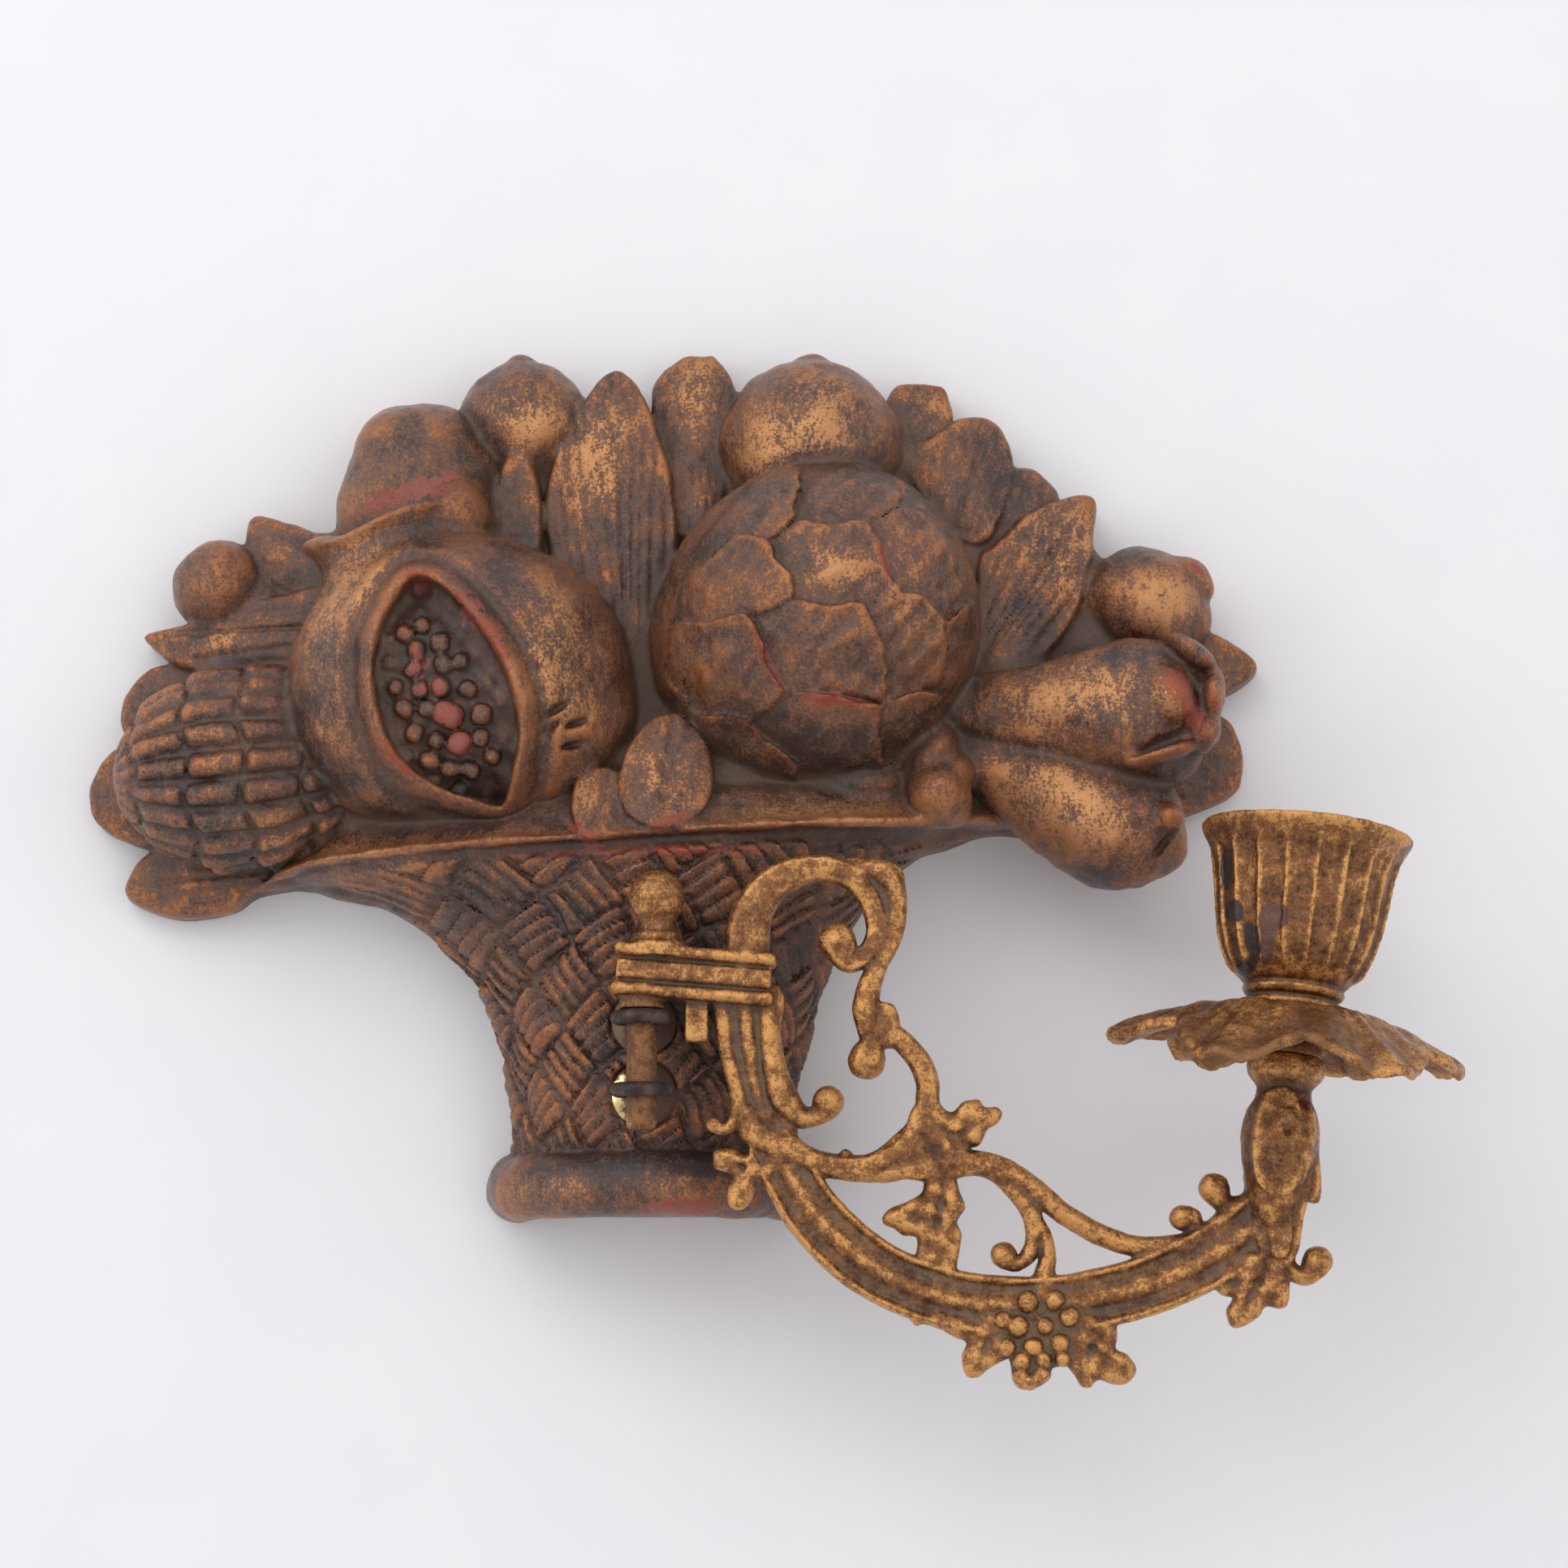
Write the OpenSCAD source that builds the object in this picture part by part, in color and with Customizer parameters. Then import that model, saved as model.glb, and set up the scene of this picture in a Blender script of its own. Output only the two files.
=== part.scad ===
// Wall sconce: carved fruit-basket plaque with a hinged cast arm for one candle.
// Millimetres. +Z is up, the flat back is the plane y = 0 and the front faces -Y.
// The origin is the centre of the round entry of the keyhole hanger.

/* [Relief plaque] */
// Thickness of the solid block behind the fruit
backing_t = 18; // [14:1:22]
// Thickness of the leaves that lie against the wall
leaf_t = 10; // [8:0.5:13]
// Half width of the basket rim
rim_half_w = 80; // [76:1:84]
// Distance of the basket rim from the wall
rim_depth = 45; // [41:0.5:46]
// Height of the basket rim
rim_h = 7; // [5:0.5:9]
// Slope of the basket rim in degrees, right end up
rim_slope = 5; // [3:0.5:7]
// Radius of the roll round the foot
foot_roll_r = 6; // [5:0.25:7]
// Height of the woven strips above the basket
weave_relief = 0.8; // [0.4:0.1:1.2]
// Radius of a pomegranate seed
seed_r = 2.3; // [1.8:0.1:2.8]

/* [Pintle and eyes] */
// Distance of the pintle axis from the wall
arm_d = 51; // [50:0.5:54]
// Radius of the pintle peg
peg_r = 3.25; // [2.75:0.05:3.4]
// Radial play of the peg in the eyes
eye_play = 0.35; // [0.2:0.05:0.6]
// Radius of the eye wire
wire_r = 1.5; // [1.3:0.05:1.6]
// Radius of the brass rosettes
rosette_r = 6.7; // [5.5:0.1:7.2]

/* [Swing arm] */
// Droop of the moulded bar in degrees
bar_tilt = 4.5; // [2:0.5:6]
// Width of the channelled lower band
band_w = 12.4; // [11:0.2:13.4]
// Thickness of the cast leaves
cast_leaf_t = 3.6; // [3:0.2:4.2]
// Radius of a cast grape
berry_r = 2.3; // [2:0.1:2.6]

/* [Candle cup and drip pan] */
// Radius of the candle socket
socket_r = 11.2; // [10.8:0.1:11.6]
// Length of the straight part of the socket
socket_len = 14; // [10:1:15]
// Number of flutes round the cup
flutes = 24; // [16:1:28]
// Depth of the flutes
flute_depth = 0.6; // [0.3:0.1:0.9]
// Lean of the cup away from the wall plate side, in degrees
cup_lean = 6.5; // [0:0.5:9]
// Lean of the cup towards the wall, in degrees
cup_nod = 4; // [0:0.5:6]
// Radius of the drip pan over its lobes
pan_r = 38; // [35:0.5:39]
// Number of lobes round the drip pan
pan_lobes = 6; // [5:1:8]

/* [Hanger] */
// Radius of the round entry of the keyhole
keyhole_r = 4.5; // [4:0.1:5.2]
// Half width of the keyhole slot
slot_r = 2.2; // [1.8:0.1:2.6]
// Thickness of the hanger plate
plate_t = 1.6; // [1.2:0.2:2]

/* [Hidden] */
$fn = 64;

big = 400;
wood = [0.36, 0.23, 0.14];
bronze = [0.58, 0.43, 0.2];
brass = [0.72, 0.56, 0.25];
steel = [0.4, 0.38, 0.36];

// basket
basket_x = 1.5;
basket_y = 5.5;
foot_z = -138;
foot_ring_r = 29.5;
basket_side = [
  [29.5, -134], [31, -120], [33, -104], [34, -95], [35, -85], [38, -72]
];
flare_axis = 45;
flare_side = [
  [55.8, -108], [58.6, -97], [62.9, -88], [68.8, -79.5], [75.8, -70.5], [83, -64]
];
rim_z = -66;
rim_r = (rim_half_w * rim_half_w + rim_depth * rim_depth) / (2 * rim_depth);
strips_w = 7;
strip_t = 1.5;
strip_pitch = 2.6;

// artichoke, angles from its forward axis
bract_out = 35.6;
bract_in = 33.9;
bract_edges = [20, 43, 67, 92];
bract_count = [6, 9, 12];

// screw eyes
eye_z = [-104.1, -119.1];
seat_d = [37.6, 35.7];
eye_ring_r = peg_r + eye_play + wire_r;
shank_end_d = 20;
bore_slack = 0.05;
rosette_t = 2.2;

// arm
bar_z = -94.4;
bar_len = [6, 27.6];
peg_top_z = -97;
peg_end_z = -127.5;
shoulder_r = 4.9;
shoulder_gap = 0.1;
finial_x = 3;

// cup and pan stand on the arm's post, along one leaning axis
post_top = [133.7, -112.5];
post_side = [
  [8, 0], [8.3, -2.2], [7.6, -4.6], [6, -6.2], [5.8, -8],
  [7.4, -11.5], [8, -15], [7.6, -24], [5.5, -29]
];
pan_hub_h = 9.8;
pan_t = 1.8;
cup_foot_z = pan_hub_h;
rim_top_z = 48;
bell = [
  [9.6, 0], [10, 1.6], [9.4, 2.6], [11, 4], [13.9, 7.2], [15.4, 11],
  [16.6, 17], [17.2, 24], [18.2, 30.5], [20, 35], [21.9, 37.4], [21.6, 38.2]
];
socket_floor_z = 7.2;
bell_wall = 2.2;
screw_r = 1.9;
screw_hole_r = 2.1;
screw_head_r = 3.9;
screw_head_h = 2.2;
screw_depth = 12;

// leaves of the plaque: base x, base z, direction, length, width, front distance
leaves = [
  [-76, -67, 187, 39, 15, 0],
  [-94, -52, 171, 31, 21, 0],
  [-90, -36, 168, 27, 15, 0],
  [-68, -12, 188, 43, 14, 8],
  [-70, -10, 135, 26, 13, 0],
  [-28, -4, 88, 31, 11, 18],
  [-5, -6, 95, 51, 26, 20],
  [14, 6, 97, 42, 17, 6],
  [52, 22, 60, 21, 13, 0],
  [60, 6, 62, 30, 20, 6],
  [72, -24, 55, 45, 19, 12],
  [106, -27, 9, 28, 14, 0],
  [104, -46, 4, 26, 20, 0],
  [-12, -46, 268, 19, 11, 34],
  [4, -38, 262, 24, 17, 34]
];

// round fruits: x, z, distance of the centre from the wall, radius
fruits = [
  [-94.5, -3.5, 8, 9.8],
  [-52, 19, 13, 16.5],
  [-28, 31, 9, 14.6],
  [35.5, 26, 12, 20],
  [84, 15.5, 7, 6.2],
  [110, -10, 9, 13.6],
  [60, -51, 22, 10.5],
  [60, -51, 32.5, 6.4]
];

// small ends of stalks: x, z, distance, radius
nubs = [
  [35.6, 43.5, 14, 3],
  [120.5, -3, 12, 3],
  [-29, 44.5, 10, 2.4],
  [62, -57, 38, 2.6]
];

// curved strands of the casting: start, point on the way, end, radius
strands = [
  [[24, -92], [28.5, -78], [38, -72.8], 3.6],
  [[38, -72.8], [47.5, -76], [51.3, -85], 3.1],
  [[50, -82], [49.3, -89], [43, -91.3], 2.3],
  [[52, -82], [51.2, -92], [47, -100], 2.7],
  [[47, -100], [47, -104], [51.5, -107.5], 2.6],
  [[46.6, -110], [51.5, -107.8], [56, -113], 2.5],
  [[56, -113], [57.6, -123], [51, -130.3], 2.6],
  [[51, -130.3], [41, -133.8], [29, -131], 2.8],
  [[30, -134.5], [47, -137.4], [68, -136.5], 2.45],
  [[68, -136.5], [82.5, -141.3], [94, -149.6], 2.55],
  [[94, -149.6], [104.5, -153.4], [113.4, -149], 2.35],
  [[73, -138], [82, -145.5], [81.5, -153], 2.2],
  [[82, -150], [79.5, -155.2], [75.2, -153.5], 1.9],
  [[17.6, -100], [19, -115], [26, -130], 3.4],
  [[23.6, -100], [25.4, -115], [36.5, -124.6], 3.5],
  [[24, -122], [21, -128], [16, -127], 1.9],
  [[128, -133], [126.3, -141.5], [119.6, -141.2], 2],
  [[131, -146], [132, -153.5], [138, -155.6], 2.3]
];

// scroll ends and swellings: x, z, radius
knobs = [
  [41.5, -88.2, 4.1],
  [51.6, -103.3, 2.7],
  [46.6, -112.7, 4],
  [39.2, -121.8, 3.1],
  [15.2, -126.4, 1.9],
  [112.4, -145.4, 2.9],
  [74.8, -152.8, 2.3],
  [118.9, -139.8, 2.3],
  [138.8, -153.9, 3.2],
  [27.5, -130.5, 5.2],
  [54, -77, 3.3],
  [127.6, -147, 5.4]
];

// cast leaves, one list per leaf: x, z, radius of each lobe
cast_leaves = [
  [[16.6, -133.4, 2.6], [19.6, -140.2, 3], [24.6, -134.6, 3.4], [21, -135.5, 3]],
  [[60.5, -123.4, 4], [68.6, -122.8, 4.2], [73, -124.2, 2.8], [63.2, -133.2, 4], [65, -128, 5]],
  [[62.8, -137, 4], [60.8, -143, 4.6], [55, -146.2, 4.2], [62, -150.4, 4.4], [62.9, -155.6, 4.4]],
  [[70, -173, 4], [75, -169.5, 4.4], [67, -168, 3], [61, -167, 2.4]],
  [[93.6, -169.2, 4.4], [97.4, -174.6, 4.3], [92, -176.6, 3.4], [88, -170.5, 4.2]],
  [[124.4, -156, 3.8], [123, -163.6, 4], [129.6, -160, 4], [128, -153.5, 4]]
];

// grapes: x and z of each
berries = [
  [79.5, -162.8], [84.5, -162], [87.6, -165.4], [75.2, -165.6], [79.6, -167],
  [83.6, -168], [76, -171], [80.6, -172], [85.6, -171.6], [78.4, -176.6],
  [82.2, -176.8], [79.8, -181.4]
];

band_arc = [[31, -137], [75, -163.3], [127, -147.8]];
web_t = 3.6;
bead_r = 2.75;

// ---- helpers ----

function centre(a, m, b) =
  let (
    d = 2 * (a.x * (m.y - b.y) + m.x * (b.y - a.y) + b.x * (a.y - m.y)),
    sa = a * a,
    sm = m * m,
    sb = b * b
  )
  [
    (sa * (m.y - b.y) + sm * (b.y - a.y) + sb * (a.y - m.y)) / d,
    (sa * (b.x - m.x) + sm * (a.x - b.x) + sb * (m.x - a.x)) / d
  ];

function bearing(c, p) = atan2(p.y - c.y, p.x - c.x);

function turn(from, to) = (to - from + 720) % 360;

// 2-D drawings in x and z become solids that reach t forward from distance d
module front(d, t)
  translate([0, -d, 0])
    rotate([90, 0, 0])
      linear_extrude(t)
        children();

module spot(x, z, d, r)
  translate([x, -d, z])
    sphere(r);

module behind_wall()
  translate([-big / 2, 0, -big / 2])
    cube(big);

// a profile swept along the arc through three points of the arm's plane
module along(a, m, b) {
  c = centre(a, m, b);
  left = cross(m - a, b - m) > 0;
  from = bearing(c, left ? a : b);
  to = bearing(c, left ? b : a);
  translate([c.x, -arm_d, c.y])
    rotate([90, 0, 0])
      rotate([0, 0, from])
        rotate_extrude(angle = turn(from, to))
          translate([norm(a - c), 0])
            children();
}

module blade(length, width) {
  r = (length * length + width * width) / (4 * width);
  off = r - width / 2;
  translate([length / 2, 0])
    intersection() {
      translate([0, off])
        circle(r);
      translate([0, -off])
        circle(r);
    }
}

module leaf(l)
  difference() {
    front(l[5], leaf_t)
      translate([l[0], l[1]])
        rotate(l[2])
          blade(l[3], l[4]);
    translate([l[0], -l[5] - leaf_t, l[1]])
      rotate([0, -l[2], 0])
        translate([l[3] * 0.15, 0, 0])
          rotate([45, 0, 0])
            translate([0, -0.7, -0.7])
              cube([l[3] * 0.75, 1.4, 1.4]);
  }

// half of a turned pear from stalk to flower end, lying along +X
module pear(length, r)
  rotate([0, 90, 0])
    rotate_extrude()
      polygon([
        [0, 0], [r * 0.3, length * 0.03], [r * 0.42, length * 0.2],
        [r * 0.6, length * 0.38], [r * 0.86, length * 0.55], [r, length * 0.72],
        [r * 0.94, length * 0.86], [r * 0.7, length * 0.96], [r * 0.3, length],
        [0, length * 0.98]
      ]);

// ---- parts of the plaque ----

module foot() {
  translate([basket_x - 1, -basket_y, foot_z])
    rotate_extrude()
      polygon(concat(
        [[0, -foot_roll_r + 0.6]],
        [
          for (a = [-75 : 30 : 75])
            [foot_ring_r + foot_roll_r * cos(a), foot_roll_r * sin(a)]
        ],
        [[0, foot_roll_r - 0.6]]
      ));
  front(0, basket_y + 1)
    translate([basket_x - 1 - foot_ring_r - 4, foot_z - foot_roll_r + 0.5])
      square([2 * foot_ring_r + 8, 2 * foot_roll_r - 1]);
}

module basket_body()
  translate([basket_x, -basket_y, 0])
    rotate_extrude()
      polygon(concat([[0, -134]], basket_side, [[0, -72]]));

module in_rim_slope()
  translate([0, 0, rim_z])
    rotate([0, -rim_slope, 0])
      translate([0, 0, -rim_z])
        children();

module basket_flare()
  in_rim_slope()
    translate([0, flare_axis, 0])
      rotate_extrude()
        polygon(concat([[0, -108]], flare_side, [[0, -64]]));

module basket_rim()
  in_rim_slope()
    translate([0, rim_r - rim_depth, rim_z])
      rotate_extrude()
        polygon([
          [0, 0.3], [rim_r - 1.6, 0], [rim_r, 1.4], [rim_r, rim_h - 2],
          [rim_r - 3, rim_h], [0, rim_h + 0.3]
        ]);

// groups of three strips, turned one way and the other like basket work
module weave()
  for (row = [0 : 4])
    for (col = [-3 : 3])
      let (
        z = -126 + 9.5 * row,
        r = lookup(z, [for (p = basket_side) [p[1], p[0]]]),
        phi = col * 22 + (row % 2) * 11
      )
      translate([basket_x, -basket_y, z])
        rotate([0, 0, phi])
          translate([0, -r - weave_relief, 0])
            rotate([0, (row + col) % 2 == 0 ? 35 : -50, 0])
              for (k = [-1 : 1])
                translate([-strips_w / 2, 0, k * strip_pitch - strip_t / 2])
                  cube([strips_w, 3, strip_t]);

module pomegranate_body(grow)
  translate([-39, -23, -27.5])
    rotate([0, -15, 0])
      rotate_extrude()
        polygon([
          [0, -33 - grow], [15, -31 - grow], [27, -23 - grow], [34, -12],
          [36.5 + grow, -2], [35.5 + grow, 8], [31 + grow, 18], [24, 25], [17, 29],
          [14.5, 33], [15, 38], [18, 42], [20.5, 45.5], [18.4, 46.5], [11, 43.5], [0, 43]
        ]);

module almond(length, width)
  translate([-49, -9])
    rotate(290)
      blade(length, width);

module pomegranate() {
  difference() {
    union() {
      pomegranate_body(0);
      intersection() {
        front(30, 40)
          translate([-1, 3])
            almond(60, 33);
        pomegranate_body(1.6);
      }
    }
    front(45, big)
      almond(54, 26);
  }
  for (i = [-3 : 3])
    for (j = [-1 : 1])
      let (
        s = i * 5.2 + j * 1.2,
        w = j * 4.6 * cos(i * 22)
      )
      spot(-40 - s * 0.35 + w * 0.94, -34 + s * 0.94 + w * 0.35, 45.6 + (i + j) % 2, seed_r);
}

// rings of bracts that overlap towards the stalk, parted by grooves
module artichoke()
  translate([35.8, -24, -18.5])
    rotate([90, 0, 0])
      difference() {
        rotate_extrude()
          polygon(concat(
            [[0, 34.4]],
            [
              for (a = bract_edges)
                each [
                  [bract_out * sin(a), bract_out * cos(a)],
                  [bract_in * sin(a + 1.5), bract_in * cos(a + 1.5)]
                ]
            ],
            [[31, -10], [0, -10]]
          ));
        for (ring = [0 : 2])
          for (i = [0 : bract_count[ring] - 1])
            rotate([0, 0, (i + ring * 0.5) * 360 / bract_count[ring]])
              rotate([0, (bract_edges[ring] + bract_edges[ring + 1]) / 2 + 1, 0])
                translate([-6, -0.7, bract_in - 0.2])
                  cube([12, 1.4, 5]);
      }

// rows of swellings round a stubby axis that points left, parted by grooves
module gourd()
  translate([-93.5, -18, -45])
    rotate([0, -90, 10])
      difference() {
        rotate_extrude()
          polygon([
            [0, -22], [14, -20], [18.5, -15], [20.5, -9], [19.6, -6.5], [22, -4],
            [22.2, 2], [19.4, 5.2], [20, 7.6], [17.5, 13], [14.2, 15.4], [13, 18],
            [7, 21.4], [0, 22]
          ]);
        for (k = [0 : 15])
          rotate([0, 0, k * 22.5 + 4])
            translate([20.2, -0.9, -20])
              cube([5, 1.8, 36]);
      }

module pears() {
  translate([66, -26, -35])
    rotate([0, 3, 0])
      pear(57, 17);
  translate([66, -22, -42])
    rotate([0, 27, 0])
      pear(51, 15.5);
}

module block()
  front(0, backing_t)
    polygon([
      [-100, -52], [-99, -10], [-88, 2], [-70, 8], [-58, 26], [-30, 36],
      [12, 36], [44, 36], [66, 28], [86, 15], [100, 3], [116, -16],
      [114, -46], [88, -60], [60, -66], [-60, -76], [-88, -66]
    ]);

module keyhole_room()
  rotate([90, 0, 0])
    linear_extrude(9)
      union() {
        circle(keyhole_r + 1.5);
        translate([-keyhole_r - 0.5, 0])
          square([2 * keyhole_r + 1, 9]);
        translate([0, 9])
          circle(keyhole_r + 0.5);
      }

module plate_outline()
  union() {
    translate([-7.5, -14])
      square([15, 33]);
    translate([0, -14])
      circle(7.5);
    translate([0, 19])
      circle(7.5);
  }

module basket() {
  foot();
  basket_body();
  basket_flare();
  basket_rim();
  weave();
}

module small_fruits() {
  for (f = fruits)
    spot(f[0], f[1], f[2], f[3]);
  for (n = nubs)
    spot(n[0], n[1], n[2], n[3]);
}

module relief_plaque()
  color(wood)
    difference() {
      union() {
        union() {
          block();
          basket();
        }
        union() {
          for (l = leaves)
            leaf(l);
        }
        small_fruits();
        pomegranate();
        artichoke();
        gourd();
        pears();
      }
      behind_wall();
      for (k = [0, 1])
        translate([0, 0, eye_z[k]])
          rotate([90, 0, 0]) {
            cylinder(r = wire_r + bore_slack, h = seat_d[k] + 1);
            translate([0, 0, seat_d[k]])
              cylinder(r = rosette_r + 0.3, h = 12);
          }
      front(-1, plate_t + 1)
        plate_outline();
      keyhole_room();
      for (z = [-14, 19])
        translate([0, 0, z])
          rotate([90, 0, 0])
            cylinder(r = 1.4 + bore_slack, h = 13);
    }

// ---- hardware ----

module screw_eye(k)
  color(steel)
    translate([0, -arm_d, eye_z[k]]) {
      rotate([0, 0, 90])
        rotate_extrude(angle = 268)
          translate([eye_ring_r, 0])
            circle(wire_r);
      rotate([0, 0, 358])
        translate([eye_ring_r, 0, 0])
          sphere(wire_r);
      translate([0, eye_ring_r - 0.2, 0])
        rotate([-90, 0, 0])
          union() {
            cylinder(r = wire_r, h = arm_d - eye_ring_r - shank_end_d - 4);
            translate([0, 0, arm_d - eye_ring_r - shank_end_d - 4])
              cylinder(r1 = wire_r, r2 = 0.3, h = 4);
          }
    }

module rosette(k)
  color(brass)
    translate([0, -seat_d[k], eye_z[k]])
      rotate([90, 0, 0])
        rotate_extrude()
          polygon([
            [wire_r + bore_slack, 0], [rosette_r, 0], [rosette_r, 0.6],
            [rosette_r - 0.8, 1], [rosette_r * 0.6, rosette_t * 0.8],
            [wire_r + bore_slack + 1, rosette_t], [wire_r + bore_slack, rosette_t]
          ]);

module upper_screw_eye() screw_eye(0);
module lower_screw_eye() screw_eye(1);
module upper_rosette() rosette(0);
module lower_rosette() rosette(1);

module hanger_plate()
  color(steel)
    difference() {
      front(0, plate_t)
        plate_outline();
      front(-1, plate_t + 2)
        union() {
          circle(keyhole_r);
          translate([-slot_r, 0])
            square([2 * slot_r, 9]);
          translate([0, 9])
            circle(slot_r);
        }
      for (z = [-14, 19])
        translate([0, 0, z])
          rotate([90, 0, 0]) {
            translate([0, 0, -1])
              cylinder(r = 1.55, h = plate_t + 2);
            translate([0, 0, -0.01])
              cylinder(r1 = 3.1, r2 = 1.55, h = 1.2);
          }
    }

module hanger_screws()
  color(steel)
    for (z = [-14, 19])
      translate([0, 0, z])
        rotate([90, 0, 0])
          difference() {
            union() {
              cylinder(r1 = 2.9, r2 = 1.4, h = 1.2);
              cylinder(r = 1.4, h = 9);
              translate([0, 0, 9])
                cylinder(r1 = 1.4, r2 = 0.2, h = 3);
            }
            translate([-4, -0.35, -1])
              cube([8, 0.7, 1.5]);
          }

// ---- swing arm ----

module bar()
  translate([0, -arm_d, bar_z])
    rotate([0, bar_tilt, 0])
      translate([-bar_len[0], 0, 0])
        rotate([90, 0, 90])
          linear_extrude(bar_len[0] + bar_len[1])
            union() {
              square([9.2, 10.6], center = true);
              for (y = [-4.2, 4.2])
                translate([0, y])
                  union() {
                    square([8.4, 3], center = true);
                    for (x = [-4.2, 4.2])
                      translate([x, 0])
                        circle(1.5);
                  }
            }

module pintle()
  translate([0, -arm_d, 0]) {
    translate([0, 0, peg_end_z + 2])
      cylinder(r = peg_r, h = peg_top_z - peg_end_z - 2);
    translate([0, 0, peg_end_z])
      cylinder(r1 = peg_r - 1.4, r2 = peg_r, h = 2);
    translate([0, 0, eye_z[0] + wire_r + shoulder_gap])
      cylinder(r = shoulder_r, h = peg_top_z - eye_z[0] - wire_r - shoulder_gap);
  }

module finial()
  translate([finial_x, -arm_d, -90.5])
    rotate_extrude()
      polygon([
        [0, 0], [6.8, 0], [6.8, 2.2], [5.6, 2.9], [5.6, 3.8], [4.4, 5],
        [4, 6.2], [4.3, 7.2], [5.2, 9], [5.7, 11.6], [5.4, 13.8], [4.4, 15.8],
        [2.6, 17.1], [0, 17.5]
      ]);

module stop_lug()
  translate([9, -arm_d - 2.6, -109.2])
    cube([4.9, 5.2, 9]);

module band()
  along(band_arc[0], band_arc[1], band_arc[2])
    union() {
      square([band_w - 2 * bead_r, web_t], center = true);
      for (s = [-1, 1])
        translate([s * (band_w / 2 - bead_r), 0])
          circle(bead_r);
    }

module lobes(list)
  translate([0, -arm_d, 0])
    front(-cast_leaf_t / 2, cast_leaf_t)
      for (l = list)
        translate([l[0], l[1]])
          circle(l[2]);

module on_post()
  translate([post_top[0], -arm_d, post_top[1]])
    rotate([-cup_nod, cup_lean, 0])
      children();

module post()
  difference() {
    on_post()
      rotate_extrude()
        polygon(concat([[0, 0]], post_side, [[0, -31]]));
    on_post()
      translate([0, 0, -screw_depth - 1])
        cylinder(r = screw_r + bore_slack, h = screw_depth + 2);
  }

module scrolls() {
  for (s = strands)
    along(s[0], s[1], s[2])
      circle(s[3]);
  for (k = knobs)
    spot(k[0], k[1], arm_d, k[2]);
}

module foliage() {
  for (l = cast_leaves)
    lobes(l);
  front(arm_d - 1.2, 2.4)
    polygon([[74, -161], [89, -161], [88, -171], [82.5, -181], [77.5, -181], [73, -171]]);
}

module grapes()
  for (b = berries)
    spot(b.x, b.y, arm_d + 1.2, berry_r);

module post_leg()
  translate([130.2, -arm_d - 3.3, -150])
    rotate([0, -4, 0])
      translate([-4.5, 0, 0])
        cube([9, 6.6, 12]);

module swing_arm()
  color(bronze)
    union() {
      union() {
        bar();
        pintle();
        finial();
        stop_lug();
      }
      union() {
        band();
        post();
        post_leg();
        translate([83.6, -arm_d, -161])
          cylinder(r = 2.3, h = 12);
      }
      union() {
        scrolls();
      }
      union() {
        foliage();
      }
      union() {
        grapes();
      }
    }

// ---- cup and pan ----

module pan_shell()
  rotate_extrude()
    polygon([
      [screw_hole_r, pan_hub_h], [10, pan_hub_h], [18, 8.2], [27, 5.2],
      [34, 1.8], [pan_r + 1, -1.6], [pan_r + 1, -1.6 - pan_t],
      [34, 1.8 - pan_t], [27, 5.2 - pan_t], [18, 8.2 - pan_t],
      [10, pan_hub_h - pan_t - 0.6], [7, pan_hub_h - pan_t - 1], [7, 0],
      [screw_hole_r, 0]
    ]);

module drip_pan()
  color(bronze)
    on_post()
      intersection() {
        pan_shell();
        translate([0, 0, -10])
          linear_extrude(30)
            union() {
              circle(pan_r * 0.66);
              for (i = [0 : pan_lobes - 1])
                rotate(i * 360 / pan_lobes)
                  translate([pan_r * 0.62, 0])
                    circle(pan_r * 0.38);
            }
      }

module bell_flutes()
  for (i = [0 : flutes - 1])
    rotate(i * 360 / flutes)
      rotate_extrude(angle = 180 / flutes)
        polygon([
          [14.2 - flute_depth, 8.1], [15.4 - flute_depth, 11.4],
          [16.6 - flute_depth, 17.3], [17.2 - flute_depth, 24.4],
          [18.2 - flute_depth, 30.2], [19.3 - flute_depth, 33.8],
          [24, 33.8], [24, 8.1]
        ]);

module candle_cup()
  color(bronze)
    on_post()
      translate([0, 0, cup_foot_z])
        difference() {
          rotate_extrude()
            polygon(concat([[0, 0]], bell, [[0, 38.2]]));
          bell_flutes();
          translate([0, 0, socket_floor_z])
            cylinder(r = socket_r, h = socket_len);
          translate([0, 0, socket_floor_z + socket_len])
            rotate_extrude()
              polygon([
                [0, -0.01], [socket_r, -0.01], [17.2 - bell_wall, 4],
                [18.2 - bell_wall, 30.5 - socket_floor_z - socket_len],
                [20 - bell_wall, 35.2 - socket_floor_z - socket_len],
                [20.6, 40], [0, 40]
              ]);
          translate([0, 0, socket_floor_z - screw_head_h - 0.6])
            cylinder(r = screw_head_r + 0.3, h = screw_head_h + 1);
          translate([0, 0, -1])
            cylinder(r = screw_hole_r, h = 12);
        }

module cup_screw()
  color(steel)
    on_post()
      translate([0, 0, cup_foot_z + socket_floor_z - screw_head_h - 0.6])
        difference() {
          union() {
            cylinder(r = screw_head_r, h = screw_head_h);
            translate([0, 0, -pan_hub_h - screw_depth - 2])
              cylinder(r = screw_r, h = pan_hub_h + screw_depth + 3);
          }
          translate([-5, -0.5, screw_head_h - 0.9])
            cube([10, 1, 2]);
        }

relief_plaque();
upper_screw_eye();
lower_screw_eye();
upper_rosette();
lower_rosette();
hanger_plate();
hanger_screws();
swing_arm();
drip_pan();
candle_cup();
cup_screw();
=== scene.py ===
import itertools
import math

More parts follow.
